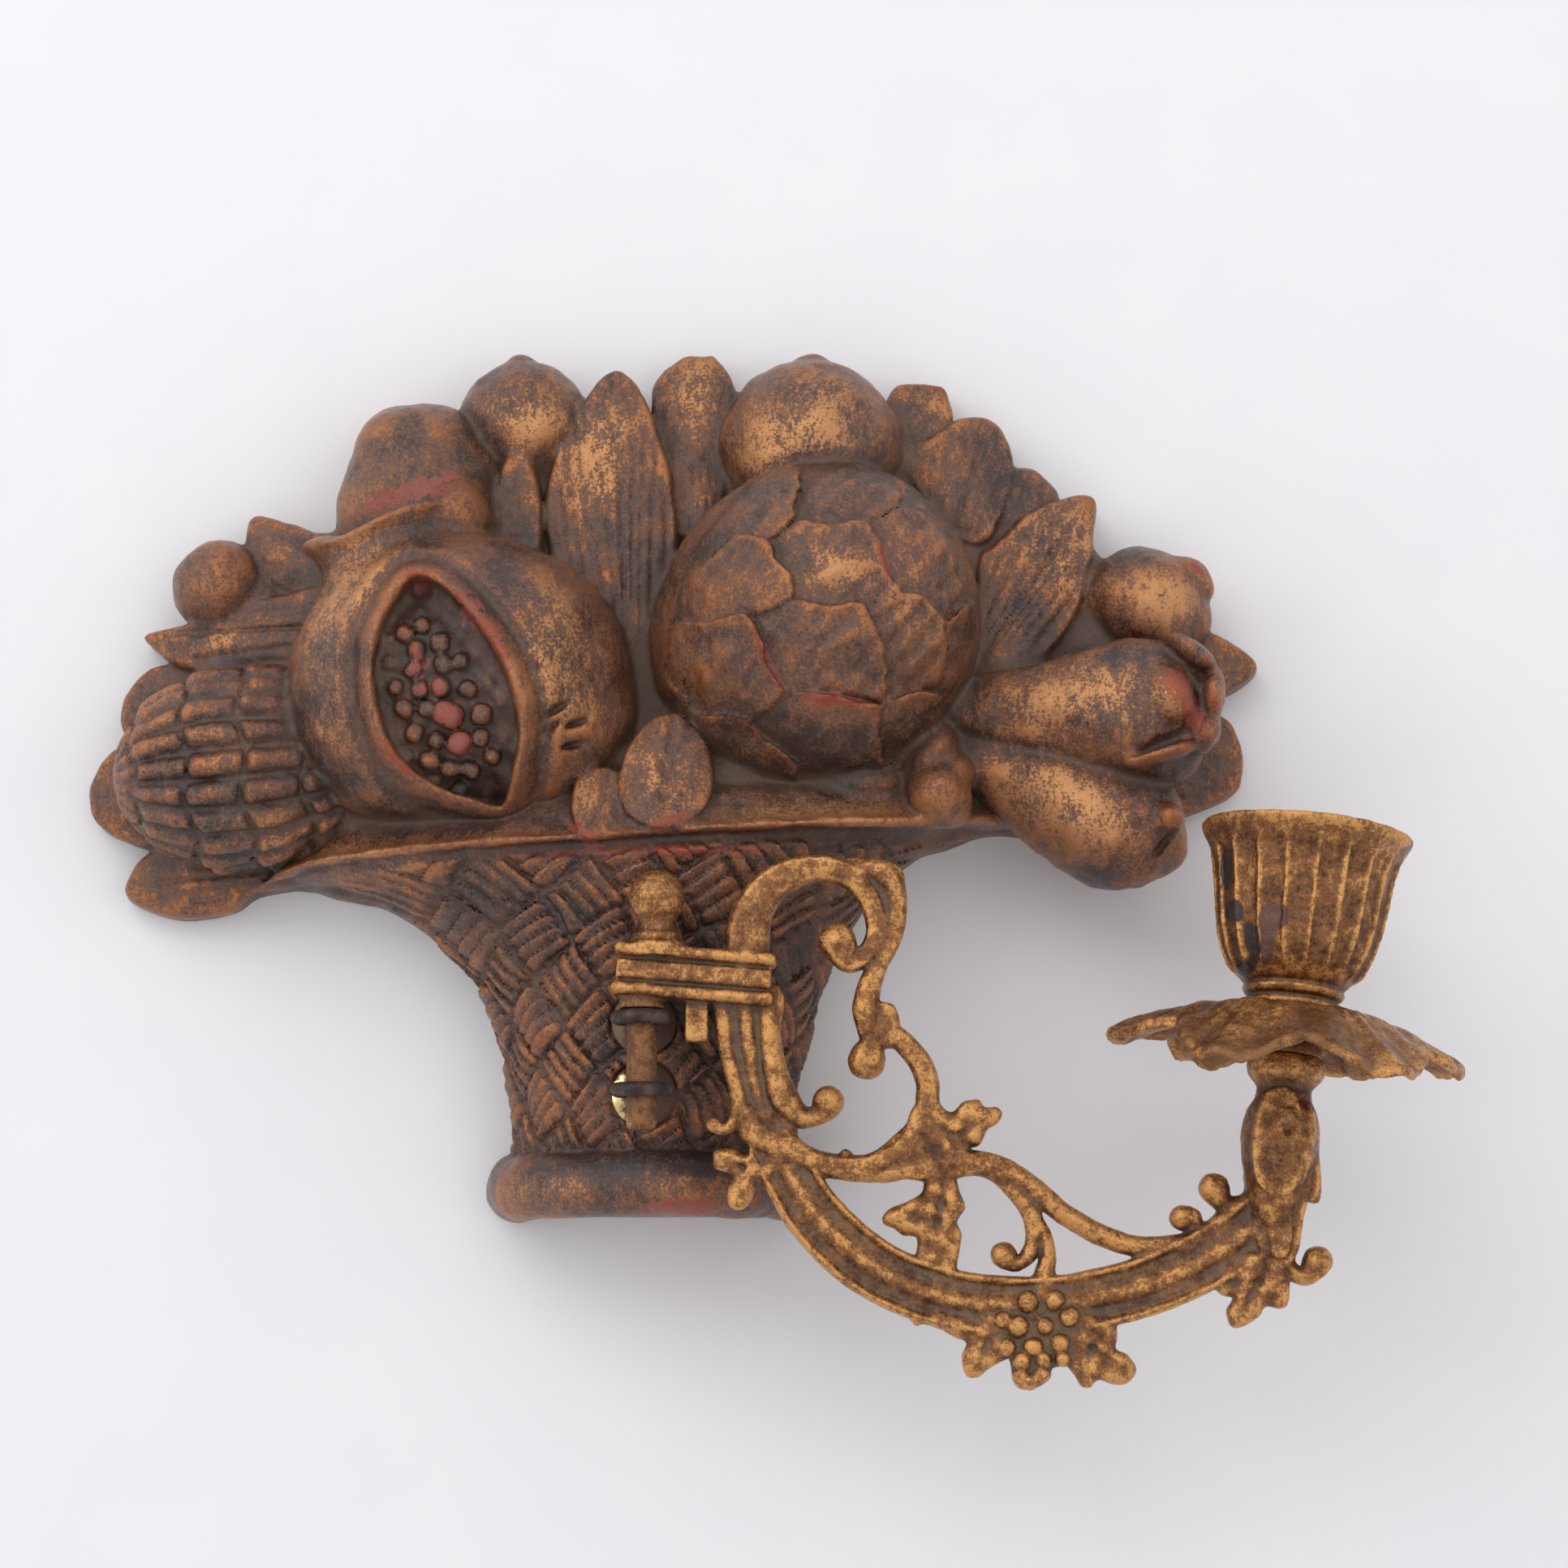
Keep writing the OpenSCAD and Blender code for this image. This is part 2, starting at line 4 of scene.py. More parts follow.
import bpy
import numpy as np
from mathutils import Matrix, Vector


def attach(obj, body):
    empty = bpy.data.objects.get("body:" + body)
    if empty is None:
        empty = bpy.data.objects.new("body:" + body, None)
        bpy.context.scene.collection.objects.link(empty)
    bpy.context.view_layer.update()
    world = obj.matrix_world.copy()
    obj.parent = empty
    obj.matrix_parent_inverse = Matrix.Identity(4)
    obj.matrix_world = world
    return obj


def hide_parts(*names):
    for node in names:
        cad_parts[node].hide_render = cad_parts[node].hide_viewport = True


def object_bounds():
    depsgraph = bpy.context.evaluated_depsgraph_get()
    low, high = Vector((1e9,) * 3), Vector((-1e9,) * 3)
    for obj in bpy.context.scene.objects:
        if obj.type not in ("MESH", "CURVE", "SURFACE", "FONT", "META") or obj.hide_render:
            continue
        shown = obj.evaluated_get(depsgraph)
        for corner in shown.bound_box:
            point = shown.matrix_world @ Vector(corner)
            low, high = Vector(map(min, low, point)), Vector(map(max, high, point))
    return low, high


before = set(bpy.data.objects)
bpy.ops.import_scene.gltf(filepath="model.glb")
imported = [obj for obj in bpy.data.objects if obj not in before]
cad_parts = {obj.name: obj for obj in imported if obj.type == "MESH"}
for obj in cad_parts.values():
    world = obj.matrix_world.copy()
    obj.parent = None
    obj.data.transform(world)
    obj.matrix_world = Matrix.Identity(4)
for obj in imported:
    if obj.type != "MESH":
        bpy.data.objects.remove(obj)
CAD_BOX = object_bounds()

# Shapes are fields on a grid: negative inside, in millimetres, with axes x, d and z.
# d is the distance in front of the wall, which is -Y in the frame.
CORNERS = list(itertools.product((0, 1), repeat=3))
NOISE_TABLE = np.random.default_rng(7).random(65536)
ARM_D = 51.0            # middle plane of the arm
BOX_ROOM = 0.1          # how far the carving stays inside the CAD box
GRAPES_LOW = -180.7     # the grapes don't reach below this height


# ---- fields ----

def smin(a, b, k):
    """The smaller of two fields, with a fillet of about k where they meet."""
    if k <= 0:
        return np.minimum(a, b)
    h = np.maximum(k - np.abs(a - b), 0) / k
    return np.minimum(a, b) - h * h * k * 0.25


def smax(a, b, k):
    return -smin(-a, -b, k)


def step(lo, hi, x):
    """Smooth step from 0 at lo to 1 at hi; lo may be the larger one."""
    t = np.clip((x - lo) / (hi - lo), 0, 1)
    return t * t * (3 - 2 * t)


def bell(x, w):
    return np.exp(-(x / w) ** 2)


class Field:
    """A signed distance on a grid of cells of size h between the corners lo and hi."""

    def __init__(self, lo, hi, h):
        self.lo = np.array(lo, float)
        self.h = h
        n = [int(math.ceil((b - a) / h)) + 1 for a, b in zip(lo, hi)]
        self.ax = [(lo[i] + h * np.arange(n[i])).astype(np.float32) for i in range(3)]
        self.v = np.full(n, 40.0, np.float32)

    def part(self, lo, hi):
        s = []
        for i in range(3):
            a = max(0, int((lo[i] - self.lo[i]) / self.h) - 1)
            b = min(len(self.ax[i]), int((hi[i] - self.lo[i]) / self.h) + 3)
            s.append(slice(a, max(b, a + 1)))
        x = self.ax[0][s[0]][:, None, None]
        d = self.ax[1][s[1]][None, :, None]
        z = self.ax[2][s[2]][None, None, :]
        return tuple(s), x, d, z

    def add(self, lo, hi, f, k=1.0):
        s, x, d, z = self.part(lo, hi)
        self.v[s] = smin(self.v[s], f(x, d, z).astype(np.float32), k)

    def cut(self, lo, hi, f, k=0.5):
        s, x, d, z = self.part(lo, hi)
        self.v[s] = smax(self.v[s], -f(x, d, z).astype(np.float32), k)


def outline(pts, x, z):
    """Signed distance to a closed outline, on 2-D arrays."""
    x, z = np.broadcast_arrays(x, z)
    best = np.full(x.shape, 1e9)
    inside = np.zeros(x.shape, bool)
    n = len(pts)
    for i in range(n):
        (ax, az), (bx, bz) = pts[i], pts[(i + 1) % n]
        ex, ez = bx - ax, bz - az
        t = np.clip(((x - ax) * ex + (z - az) * ez) / (ex * ex + ez * ez), 0, 1)
        best = np.minimum(best, (x - ax - t * ex) ** 2 + (z - az - t * ez) ** 2)
        crosses = (az > z) != (bz > z)
        if ez != 0:
            inside ^= crosses & (x < ax + (z - az) * ex / ez)
    return np.where(inside, -1.0, 1.0) * np.sqrt(best)


def front_outline(pts, x, z):
    """The distance to a closed outline in the front view, for the axes of a field's part."""
    return outline(pts, x[:, 0, :], z[:, 0, :])[:, None, :]


def smooth_line(pts, n=8, closed=False):
    """More points along a smooth curve through the given ones."""
    p = np.array(pts, float)
    m = len(p)
    out = []
    for i in range(m if closed else m - 1):
        if closed:
            a, b, c, d = p[(i - 1) % m], p[i], p[(i + 1) % m], p[(i + 2) % m]
        else:
            a, b, c, d = p[max(i - 1, 0)], p[i], p[i + 1], p[min(i + 2, m - 1)]
        for t in np.arange(n) / n:
            out.append(0.5 * (2 * b + (c - a) * t + (2 * a - 5 * b + 4 * c - d) * t * t
                              + (3 * b - a - 3 * c + d) * t ** 3))
    if not closed:
        out.append(p[-1])
    return np.array(out)


def ellipsoid(c, r, turn=0.0):
    ca, sa = math.cos(math.radians(turn)), math.sin(math.radians(turn))

    def f(x, d, z):
        q = ((x - c[0]) * ca + (z - c[2]) * sa) / r[0]
        w = (-(x - c[0]) * sa + (z - c[2]) * ca) / r[2]
        e = (d - c[1]) / r[1]
        k0 = np.sqrt(q * q + w * w + e * e) + 1e-6
        k1 = np.sqrt((q / r[0]) ** 2 + (w / r[2]) ** 2 + (e / r[1]) ** 2) + 1e-6
        return k0 * (k0 - 1) / k1
    return f


def profile(x, rows, column=1):
    """A column of the rows at x, on straight lines between them; column 0 is x."""
    return np.interp(x, [row[0] for row in rows], [row[column] for row in rows])


def around(c, m):
    """The corners of a box round c with half sizes m."""
    return [c[i] - m[i] for i in range(3)], [c[i] + m[i] for i in range(3)]


# ---- surface of a field ----

def surface(field):
    """Vertices and four-sided faces of the zero surface (surface nets), in x, d, z."""
    v = field.v
    neg = v < 0
    count = np.zeros([n - 1 for n in v.shape], np.uint8)
    for i, j, k in CORNERS:
        count += neg[i:i + count.shape[0], j:j + count.shape[1], k:k + count.shape[2]]
    act = (count > 0) & (count < 8)
    cell = np.argwhere(act)
    idx = np.full(act.shape, -1, np.int32)
    idx[act] = np.arange(len(cell))
    acc = np.zeros((len(cell), 3))
    num = np.zeros(len(cell))
    for axis in range(3):
        o1, o2 = [a for a in range(3) if a != axis]
        for p, q in itertools.product((0, 1), repeat=2):
            a = cell.copy()
            a[:, o1] += p
            a[:, o2] += q
            b = a.copy()
            b[:, axis] += 1
            va = v[a[:, 0], a[:, 1], a[:, 2]].astype(float)
            vb = v[b[:, 0], b[:, 1], b[:, 2]].astype(float)
            m = (va < 0) != (vb < 0)
            acc[m, axis] += va[m] / (va[m] - vb[m])
            acc[m, o1] += p
            acc[m, o2] += q
            num[m] += 1
    verts = field.lo + field.h * (cell + acc / num[:, None])
    quads = []
    for axis in range(3):
        u, w = (axis + 1) % 3, (axis + 2) % 3
        lo = [slice(1, n - 1) for n in v.shape]
        hi = list(lo)
        lo[axis] = slice(0, v.shape[axis] - 1)
        hi[axis] = slice(1, v.shape[axis])
        a, b = neg[tuple(lo)], neg[tuple(hi)]
        for here, flip in ((a & ~b, False), (~a & b, True)):
            e = np.argwhere(here)
            off = np.ones(3, int)
            off[axis] = 0
            e = e + off
            ring = []
            for du, dw in ((-1, -1), (0, -1), (0, 0), (-1, 0)):
                c = e.copy()
                c[:, u] += du
                c[:, w] += dw
                ring.append(idx[c[:, 0], c[:, 1], c[:, 2]])
            ring = np.stack(ring, 1)
            quads.append(ring[:, ::-1] if flip else ring)
    return verts, np.concatenate(quads)


def edges_of(quads):
    e = np.concatenate([quads[:, [0, 1]], quads[:, [1, 2]], quads[:, [2, 3]], quads[:, [3, 0]]])
    return np.unique(np.sort(e, 1), axis=0)


def relax(values, edges, n, times, share=0.5):
    """Values moved toward the mean of their neighbours along the edges."""
    out = values.astype(float)
    flat = out.ndim == 1
    if flat:
        out = out[:, None]
    deg = np.maximum(np.bincount(edges.ravel(), minlength=n), 1)[:, None]
    for _ in range(times):
        s = np.stack([np.bincount(edges[:, 0], out[edges[:, 1], c], n)
                      + np.bincount(edges[:, 1], out[edges[:, 0], c], n)
                      for c in range(out.shape[1])], 1)
        out = out * (1 - share) + share * s / deg
    return out[:, 0] if flat else out


def vertex_normals(verts, quads):
    d1 = verts[quads[:, 2]] - verts[quads[:, 0]]
    d2 = verts[quads[:, 3]] - verts[quads[:, 1]]
    fn = np.cross(d1, d2)
    out = np.stack([sum(np.bincount(quads[:, k], fn[:, c], len(verts)) for k in range(4))
                    for c in range(3)], 1)
    return out / (np.linalg.norm(out, axis=1, keepdims=True) + 1e-12)


def corner_share(f, corner):
    """The trilinear share of one corner of a cell, at the fractions f."""
    w = 1
    for axis, far in enumerate(corner):
        w = w * (f[:, axis] if far else 1 - f[:, axis])
    return w


def noise(p, size, seed):
    """Smooth value noise from 0 to 1 at points p."""
    q = p / size + seed * 17.31
    i = np.floor(q).astype(np.int64)
    f = q - i
    u = f * f * (3 - 2 * f)
    out = 0
    for a, b, c in CORNERS:
        mixed = ((i[:, 0] + a) * 73856093) ^ ((i[:, 1] + b) * 19349663) ^ ((i[:, 2] + c) * 83492791)
        out = out + corner_share(u, (a, b, c)) * NOISE_TABLE[(mixed ^ (seed * 9176)) & 65535]
    return out


def swing(p, size, seed, high):
    """Noise that swings between about -high / 2 and high / 2."""
    return (noise(p, size, seed) - 0.5) * high


def blur(a, r):
    """Mean over a box of half width r cells, along each axis."""
    out = a
    for axis in range(3):
        pad = [(0, 0)] * 3
        pad[axis] = (r + 1, r)
        c = np.cumsum(np.pad(out, pad, mode="edge"), axis=axis, dtype=np.float32)
        n = a.shape[axis]
        hi = [slice(None)] * 3
        lo = [slice(None)] * 3
        hi[axis] = slice(2 * r + 1, 2 * r + 1 + n)
        lo[axis] = slice(0, n)
        out = (c[tuple(hi)] - c[tuple(lo)]) / (2 * r + 1)
    return out


def sample(a, field, verts):
    """Values of the grid a at the vertices, between its points."""
    q = np.clip((verts - field.lo) / field.h, 0, np.array(a.shape) - 1.001)
    i = q.astype(int)
    f = q - i
    out = 0
    for x, y, z in CORNERS:
        out = out + corner_share(f, (x, y, z)) * a[i[:, 0] + x, i[:, 1] + y, i[:, 2] + z]
    return out


def fullness(field, verts, radius):
    """How much of the neighbourhood is solid: 0.5 on a flat, less on an edge, more in a hollow."""
    solid = (field.v < 0).astype(np.float32)
    r = max(1, int(round(radius / field.h)))
    return sample(blur(blur(solid, r), r), field, verts)


def add_object(name, data):
    ob = bpy.data.objects.new(name, data)
    bpy.context.scene.collection.objects.link(ob)
    return ob


def make_object(name, verts, quads, attributes):
    """A mesh object in metres from x, d, z in millimetres, with one value a vertex for each attribute."""
    co = np.stack([verts[:, 0], -verts[:, 1], verts[:, 2]], 1) / 1000
    quads = quads[:, ::-1]
    me = bpy.data.meshes.new(name)
    me.vertices.add(len(co))
    me.vertices.foreach_set("co", co.astype(np.float32).ravel())
    me.loops.add(quads.size)
    me.loops.foreach_set("vertex_index", quads.astype(np.int32).ravel())
    me.polygons.add(len(quads))
    me.polygons.foreach_set("loop_start", (np.arange(len(quads)) * 4).astype(np.int32))
    me.polygons.foreach_set("loop_total", np.full(len(quads), 4, np.int32))
    me.polygons.foreach_set("use_smooth", np.ones(len(quads), bool))
    me.update()
    me.validate()
    for key, val in attributes.items():
        a = me.attributes.new(key, "FLOAT", "POINT")
        a.data.foreach_set("value", val.astype(np.float32))
    return add_object(name, me)


# ---- the carved plaque ----

def slim_leaf(field, base, tip, width, d0, d1, crown, bend, p, q, veins):
    """A narrow carved leaf from base to tip, solid down to the wall, with midrib and gouge lines."""
    bx, bz = base
    length = math.hypot(tip[0] - bx, tip[1] - bz)
    cx, cz = (tip[0] - bx) / length, (tip[1] - bz) / length
    top = (p / (p + q)) ** p * (q / (p + q)) ** q

    def f(x, d, z):
        u = ((x - bx) * cx + (z - bz) * cz) / length
        v = -(x - bx) * cz + (z - bz) * cx - bend * length * 4 * u * (1 - u)
        uc = np.clip(u, 1e-3, 1 - 1e-3)
        w = width / 2 * uc ** p * (1 - uc) ** q / top
        m = (np.abs(v) - w) * 0.85
        m = np.where(u > 1, np.hypot(v, (u - 1) * length), m)
        m = np.where(u < 0, np.hypot(v, u * length), m)
        r = np.clip(np.abs(v) / (w + 0.5), 0, 1)
        ds = d0 + (d1 - d0) * uc + crown * (1 - r * r)
        ds = ds - 0.9 * bell(v, 0.8) * step(1.0, 0.75, uc)
        line = np.sin(v * 2.6 + 3 * np.sin(uc * 3 + v * 0.3))
        ds = ds - veins * line * line * step(0.95, 0.5, uc) + 0.5 * bell(w - np.abs(v), 0.9)
        return smax(m, d - ds, 1.3)

    m = width * 0.6 + 3 + abs(bend) * length
    lo = [min(bx, tip[0]) - m, -2, min(bz, tip[1]) - m]
    hi = [max(bx, tip[0]) + m, max(d0, d1) + crown + 4, max(bz, tip[1]) + m]
    field.add(lo, hi, f, 0.5)


def carved_leaf(field, pts, base, tip, d0, d1, crown, mid, cut, fan=0.5):
    """A carved leaf with the given outline, solid to the wall, with midrib and gouge lines."""
    line = smooth_line(pts, 4, True)
    lo, hi = line.min(0), line.max(0)
    bx, bz = base
    length = math.hypot(tip[0] - bx, tip[1] - bz)
    cx, cz = (tip[0] - bx) / length, (tip[1] - bz) / length
    across = (line - np.array(base)) @ np.array([-cz, cx])
    half = (across.max() - across.min()) / 2

    def f(x, d, z):
        x2, z2 = np.broadcast_arrays(x[:, 0, :], z[:, 0, :])
        m = outline(line, x2, z2)
        u = ((x2 - bx) * cx + (z2 - bz) * cz) / length
        v = -(x2 - bx) * cz + (z2 - bz) * cx
        uc = np.clip(u, 0, 1)
        ds = d0 + (d1 - d0) * uc + crown * (1 - np.exp(np.minimum(m, 0) / (0.35 * half)))
        ds = ds + 0.55 * bell(m + 0.9, 0.8)
        ds = ds - mid * bell(v - 0.25 * np.sin(uc * 4), 0.8) * step(1.0, 0.7, uc)
        ray = v / (0.35 + fan * uc + 0.25)
        line_cut = np.sin(ray * 2.1 + 2.2 * np.sin(uc * 2.4 + ray * 0.35))
        ds = ds - cut * np.maximum(line_cut, 0) ** 2 * step(-0.8, -3.0, m) * step(0.98, 0.6, uc)
        ds = ds[:, None, :]
        return smax(m[:, None, :], d - ds, 1.1)
    field.add([lo[0] - 3, -2, lo[1] - 3], [hi[0] + 3, max(d0, d1) + crown + 4, hi[1] + 3], f, 0.8)


def turned(a, b, side, bumps=None):
    """A solid of revolution about the line a to b (x, d, z); side is distance and radius.

    The function bumps gives what the radius gains at a distance and an angle."""
    a, b = np.array(a, float), np.array(b, float)
    length = np.linalg.norm(b - a)
    n = (b - a) / length
    e = np.cross(n, [0, 1.0, 0])
    e /= np.linalg.norm(e)
    g = np.cross(n, e)

    def f(x, d, z):
        px, pd, pz = x - a[0], d - a[1], z - a[2]
        s = px * n[0] + pd * n[1] + pz * n[2]
        r = np.sqrt(np.maximum(px * px + pd * pd + pz * pz - s * s, 0))
        rr = profile(s, side)
        if bumps is not None:
            ang = np.arctan2(px * g[0] + pd * g[1] + pz * g[2], px * e[0] + pd * e[1] + pz * e[2])
            rr = rr + bumps(s, ang)
        out = np.maximum((r - rr) * 0.8, s - side[-1][0])
        return np.maximum(out, side[0][0] - s)
    return f


# outline, base, tip, depth at base and tip, crown, midrib, gouge depth, spread of the gouge lines
LEAVES = [
    ([(-71.5, -70.1), (-84.1, -63.8), (-100.2, -62.4), (-110, -64.2), (-114.8, -70.1), (-114.7, -74.3),
      (-107, -77.9), (-99.8, -78.6), (-91, -76.8), (-85.7, -73.4)], (-80, -68), (-114.6, -72), 10, 6,
     2.4, 0.5, 0.35),
    ([(-104, -41.1), (-116.9, -40.6), (-122.5, -46.6), (-123.9, -52), (-121.9, -57.4), (-116.4, -61),
      (-106, -62)], (-100, -53), (-123.8, -51), 9, 5, 2.4, 0.3, 0.3),
    ([(-92, -24.9), (-108.2, -22.2), (-114.4, -26.8), (-116.9, -32.2), (-115.9, -37.7), (-110, -42.3),
      (-94, -40)], (-94, -32), (-116.6, -33), 10, 6, 2.4, 0.3, 0.3),
    ([(-62, -7.4), (-84.4, -9.0), (-96.9, -12.8), (-111.1, -15.8), (-108.9, -19.4), (-102, -24.5),
      (-89.5, -26.7), (-62, -27.2)], (-66, -16), (-111, -16.4), 20, 10, 2.6, 0.7, 0.5, 0.2),
    ([(-64, 4.4), (-73.3, 6.2), (-79.7, 8.7), (-87.8, 11.1), (-89.8, 6.9), (-88.6, 1.2), (-84, -5.2),
      (-74.9, -9.4), (-62, -10)], (-66, -5), (-88.4, 10), 18, 9, 3.4, 0.2, 0.35),
    ([(-28.5, 24.3), (-31.7, 20.3), (-34.2, 11.3), (-35.4, -4), (-24.4, -6), (-23.4, 11.3),
      (-25.4, 19.4)], (-29.5, -6), (-28.6, 24.3), 24, 20, 1.6, 0.5, 0.3),
    ([(-8.3, 42), (-13.4, 37.2), (-19.5, 25.3), (-23, 12.7), (-21.6, 0), (-16, -14), (-12, -30),
      (4, -34), (5.6, -13), (6.3, 7.2), (3.6, 21.7), (-0.7, 34.4), (-4.5, 40.4)], (-4, -30), (-8, 42),
     24, 17, 2.6, 0.25, 0.6, 0.7),
    ([(11.6, 47.4), (6.9, 47.1), (1.7, 42.2), (0.2, 37.5), (1, 24.6), (4, 6), (15, 4), (17.4, 24.6),
      (18.4, 39.8), (14.4, 47)], (9, 0), (10.6, 47.5), 19, 8, 3.0, 0.2, 0.55, 0.6),
    ([(50, 30), (53.7, 39.6), (58.3, 41.1), (64.6, 40.2), (66.2, 36.9), (66.2, 31.2), (57, 26)],
     (55, 27), (63.5, 40), 12, 8, 1.8, 0.2, 0.3),
    ([(56, 20), (59, 25), (67.2, 31.8), (74.4, 33.3), (78.9, 29.2), (80.6, 21.6), (79.7, 15.2),
      (74.5, 4), (66, 4)], (66, 4), (76, 33), 17, 9, 3.2, 0.8, 0.4),
    ([(76, 16), (79.4, 21.2), (84.5, 21.6), (89, 18.2), (90.4, 13.4), (84, 8), (76, 8)], (80, 8),
     (85.4, 21.4), 13, 9, 2.2, 0.8, 0.2),
    ([(72, -2), (75.8, 2.6), (82.1, 9.3), (89.3, 13.7), (97.5, 14.4), (98.2, 8.9), (97, -2),
      (92.9, -14.7), (84, -24), (72, -24)], (72, -24), (96.8, 13.6), 22, 12, 2.6, 0.5, 0.8, 0.5),
    ([(112, -14.6), (121.8, -15.0), (128.9, -17.6), (134.4, -21.8), (132.4, -25.7), (124.6, -29.6),
      (112, -29)], (112, -22), (134.2, -22), 10, 6, 2.2, 0.4, 0.3),
    ([(108, -31), (121.7, -32.6), (128, -34.7), (131.1, -42.2), (129.7, -49.6), (124.1, -53.4),
      (112, -56.6), (104, -50)], (106, -44), (131, -43.5), 10, 5, 2.4, 0.4, 0.4),
]
# the dried calyx of the pears: centre, radii, turn
PETALS = [((116.6, 35, -24.6), (6.4, 6, 2.6), -35), ((121.2, 32, -33.4), (3.0, 7, 6.2), -6),
          ((119.6, 33, -42), (3.0, 6.5, 4.6), -30), ((109.6, 37, -46.6), (8.2, 5, 2.4), 14),
          ((112.2, 30.5, -59.8), (3.2, 5, 3.6), 30)]
# the dark hollows between them: low and high corner, centre, radii, turn, fillet
HOLLOWS = [((100, 30, -54), (124, 48, -38), (111, 39.6, -44.2), (8.5, 2.6, 1.3), 24, 1),
           ((108, 26, -42), (124, 46, -26), (116.6, 38.2, -32.6), (1, 3.4, 5.2), 14, 0.8),
           ((104, 20, -74), (118, 42, -58), (110.6, 32, -65.4), (4.2, 4.5, 1), 52, 0.8),
           ((100, 20, -70), (114, 44, -54), (106.2, 36.2, -61.4), (3.6, 3, 0.9), 20, 0.8)]
# the wood behind the fruits
BLOCK = [(-104, -52), (-103, -30), (-97, -10), (-88, 0), (-72, 4), (-60, 24), (-40, 36), (-18, 38),
         (0, 34), (12, 38), (34, 40), (54, 33), (68, 26), (86, 12), (98, 4), (112, -14), (116, -32),
         (112, -48), (90, -60), (74, -60), (50, -66), (-50, -76), (-84, -68), (-96, -64)]

# the split in the pomegranate, and its seeds: x, z, radius
ALMOND = [(-48.6, -10), (-52.6, -14), (-56, -20.5), (-57.8, -30.2), (-56.6, -40.6), (-52.6, -49.6),
          (-45.4, -55.6), (-37, -58.6), (-29.8, -60), (-26.6, -54.6), (-24.6, -44.3), (-26.4, -33.6),
          (-32.6, -22.2), (-41.6, -12.6)]

SEEDS = [(-53.8, -24.7, 1.9), (-50.1, -23.4, 2), (-46.5, -21.6, 1.9), (-47.5, -27, 2.2),
         (-42.8, -25.5, 2.4), (-53.6, -29.4, 2), (-48.2, -31, 2.2), (-42, -30, 2.4), (-38.4, -29.4, 2),
         (-52, -34.6, 2), (-47, -35.2, 2.1), (-42.3, -34.6, 2.3), (-36.8, -35.1, 2.2),
         (-50.2, -39, 2.4), (-45.4, -39.2, 2), (-41, -40.4, 3.3), (-34, -40.2, 2.3),
         (-53.2, -43.7, 1.8), (-48, -44, 2.2), (-43.5, -45.5, 2.2), (-38.8, -46, 2.8), (-34.2, -45, 2),
         (-50, -48.6, 2), (-45, -49.4, 2.3), (-40.6, -51, 2.2), (-36.6, -51.4, 2.4), (-32, -48.6, 2),
         (-44.6, -53.4, 1.9), (-39, -55, 1.9), (-55, -38.4, 1.7)]

# scales of the artichoke, and the folds in them: from, to, height
BRACTS = [
    [(31.8, 5.7), (32.7, 0.7), (47.5, 0.4), (53.9, 5.4), (55.4, 19.6), (41.6, 19.6), (34, 15)],
    [(25.7, -3.1), (32.7, 0.7), (47.5, 0.4), (50.6, -6), (52.2, -11.2), (53.5, -14.9), (46.9, -18.3),
     (31.3, -17.4), (30.5, -11.8)],
    [(47.5, 0.4), (53.9, 5.4), (64.9, 2.3), (68.1, -14.8), (64.3, -19.4), (58.9, -15.4), (53.5, -14.7),
     (52.2, -11.2)],
    [(6.2, -12.5), (18.6, -1.9), (25.7, -3.1), (30.9, -11.8), (31.3, -17.4), (22.2, -19.8),
     (9.9, -19.7), (7.1, -17.3)],
    [(22.2, -19.8), (31.3, -17.4), (46.9, -18.3), (51.8, -31.2), (50.1, -37.8), (41.3, -36.6),
     (35.2, -35.8), (30, -35.7), (26.6, -29.9)],
    [(46.9, -18.3), (53.5, -14.9), (58.9, -15.4), (64.3, -19.4), (63.1, -34.2), (50.1, -36.2),
     (51.8, -31.2)],
    [(5.3, -20), (9.9, -19.9), (22.2, -19.8), (26.6, -29.9), (30, -35.7), (23, -41.7), (9.7, -38),
     (4.3, -28.8)],
    [(23, -41.7), (30, -38.2), (30.5, -35.9), (39.6, -35.8), (44, -38.4), (50.1, -37.8), (50.4, -48.3),
     (46.9, -51.4), (32.7, -51.8), (31.8, -50.3)],
    [(50.1, -36.2), (63.1, -34.2), (62.8, -39.2), (57.6, -45.7), (50.4, -48.3)],
    [(4.3, -28.8), (9.7, -38), (16, -39.4), (23, -41.7), (31.8, -50.3), (33.4, -53.6), (22, -54),
     (8, -46)],
    [(1, -12.5), (6.2, -12.5), (18.6, -1.9), (25.7, -3.1), (32.4, 1), (31.8, 5.7), (34, 15), (28, 17),
     (6, 4)],
    [(55.4, 19.6), (53.9, 5.4), (64.9, 2.3), (68.1, -14.8), (72, -12.9), (78, 0), (70, 17)],
    [(68.1, -14.8), (72, -12.9), (78, -16), (74, -38), (63, -46), (62.8, -39.2), (63.1, -34.2),
     (64.3, -19.4)],
    [(33.4, -53.6), (32.7, -51.8), (46.9, -51.4), (50.4, -48.3), (57.6, -45.7), (60, -50), (46, -58),
     (34, -58)],
]
FOLDS = [((35.2, -29.3), (46.9, -22.2), 1.0), ((11.6, -33.4), (17.8, -25.8), 1.3),
         ((13, -15.8), (21.3, -10.4), 0.8), ((36.1, -12.8), (46.6, -7.4), 0.5),
         ((54.5, -11), (64.6, -2.1), 0.7), ((55.3, -30.9), (64.3, -22), 0.8),
         ((50.5, -24.6), (57.1, -17), 0.6), ((36, 4), (52, 11), 0.5), ((35, -46), (45, -40), 0.5)]


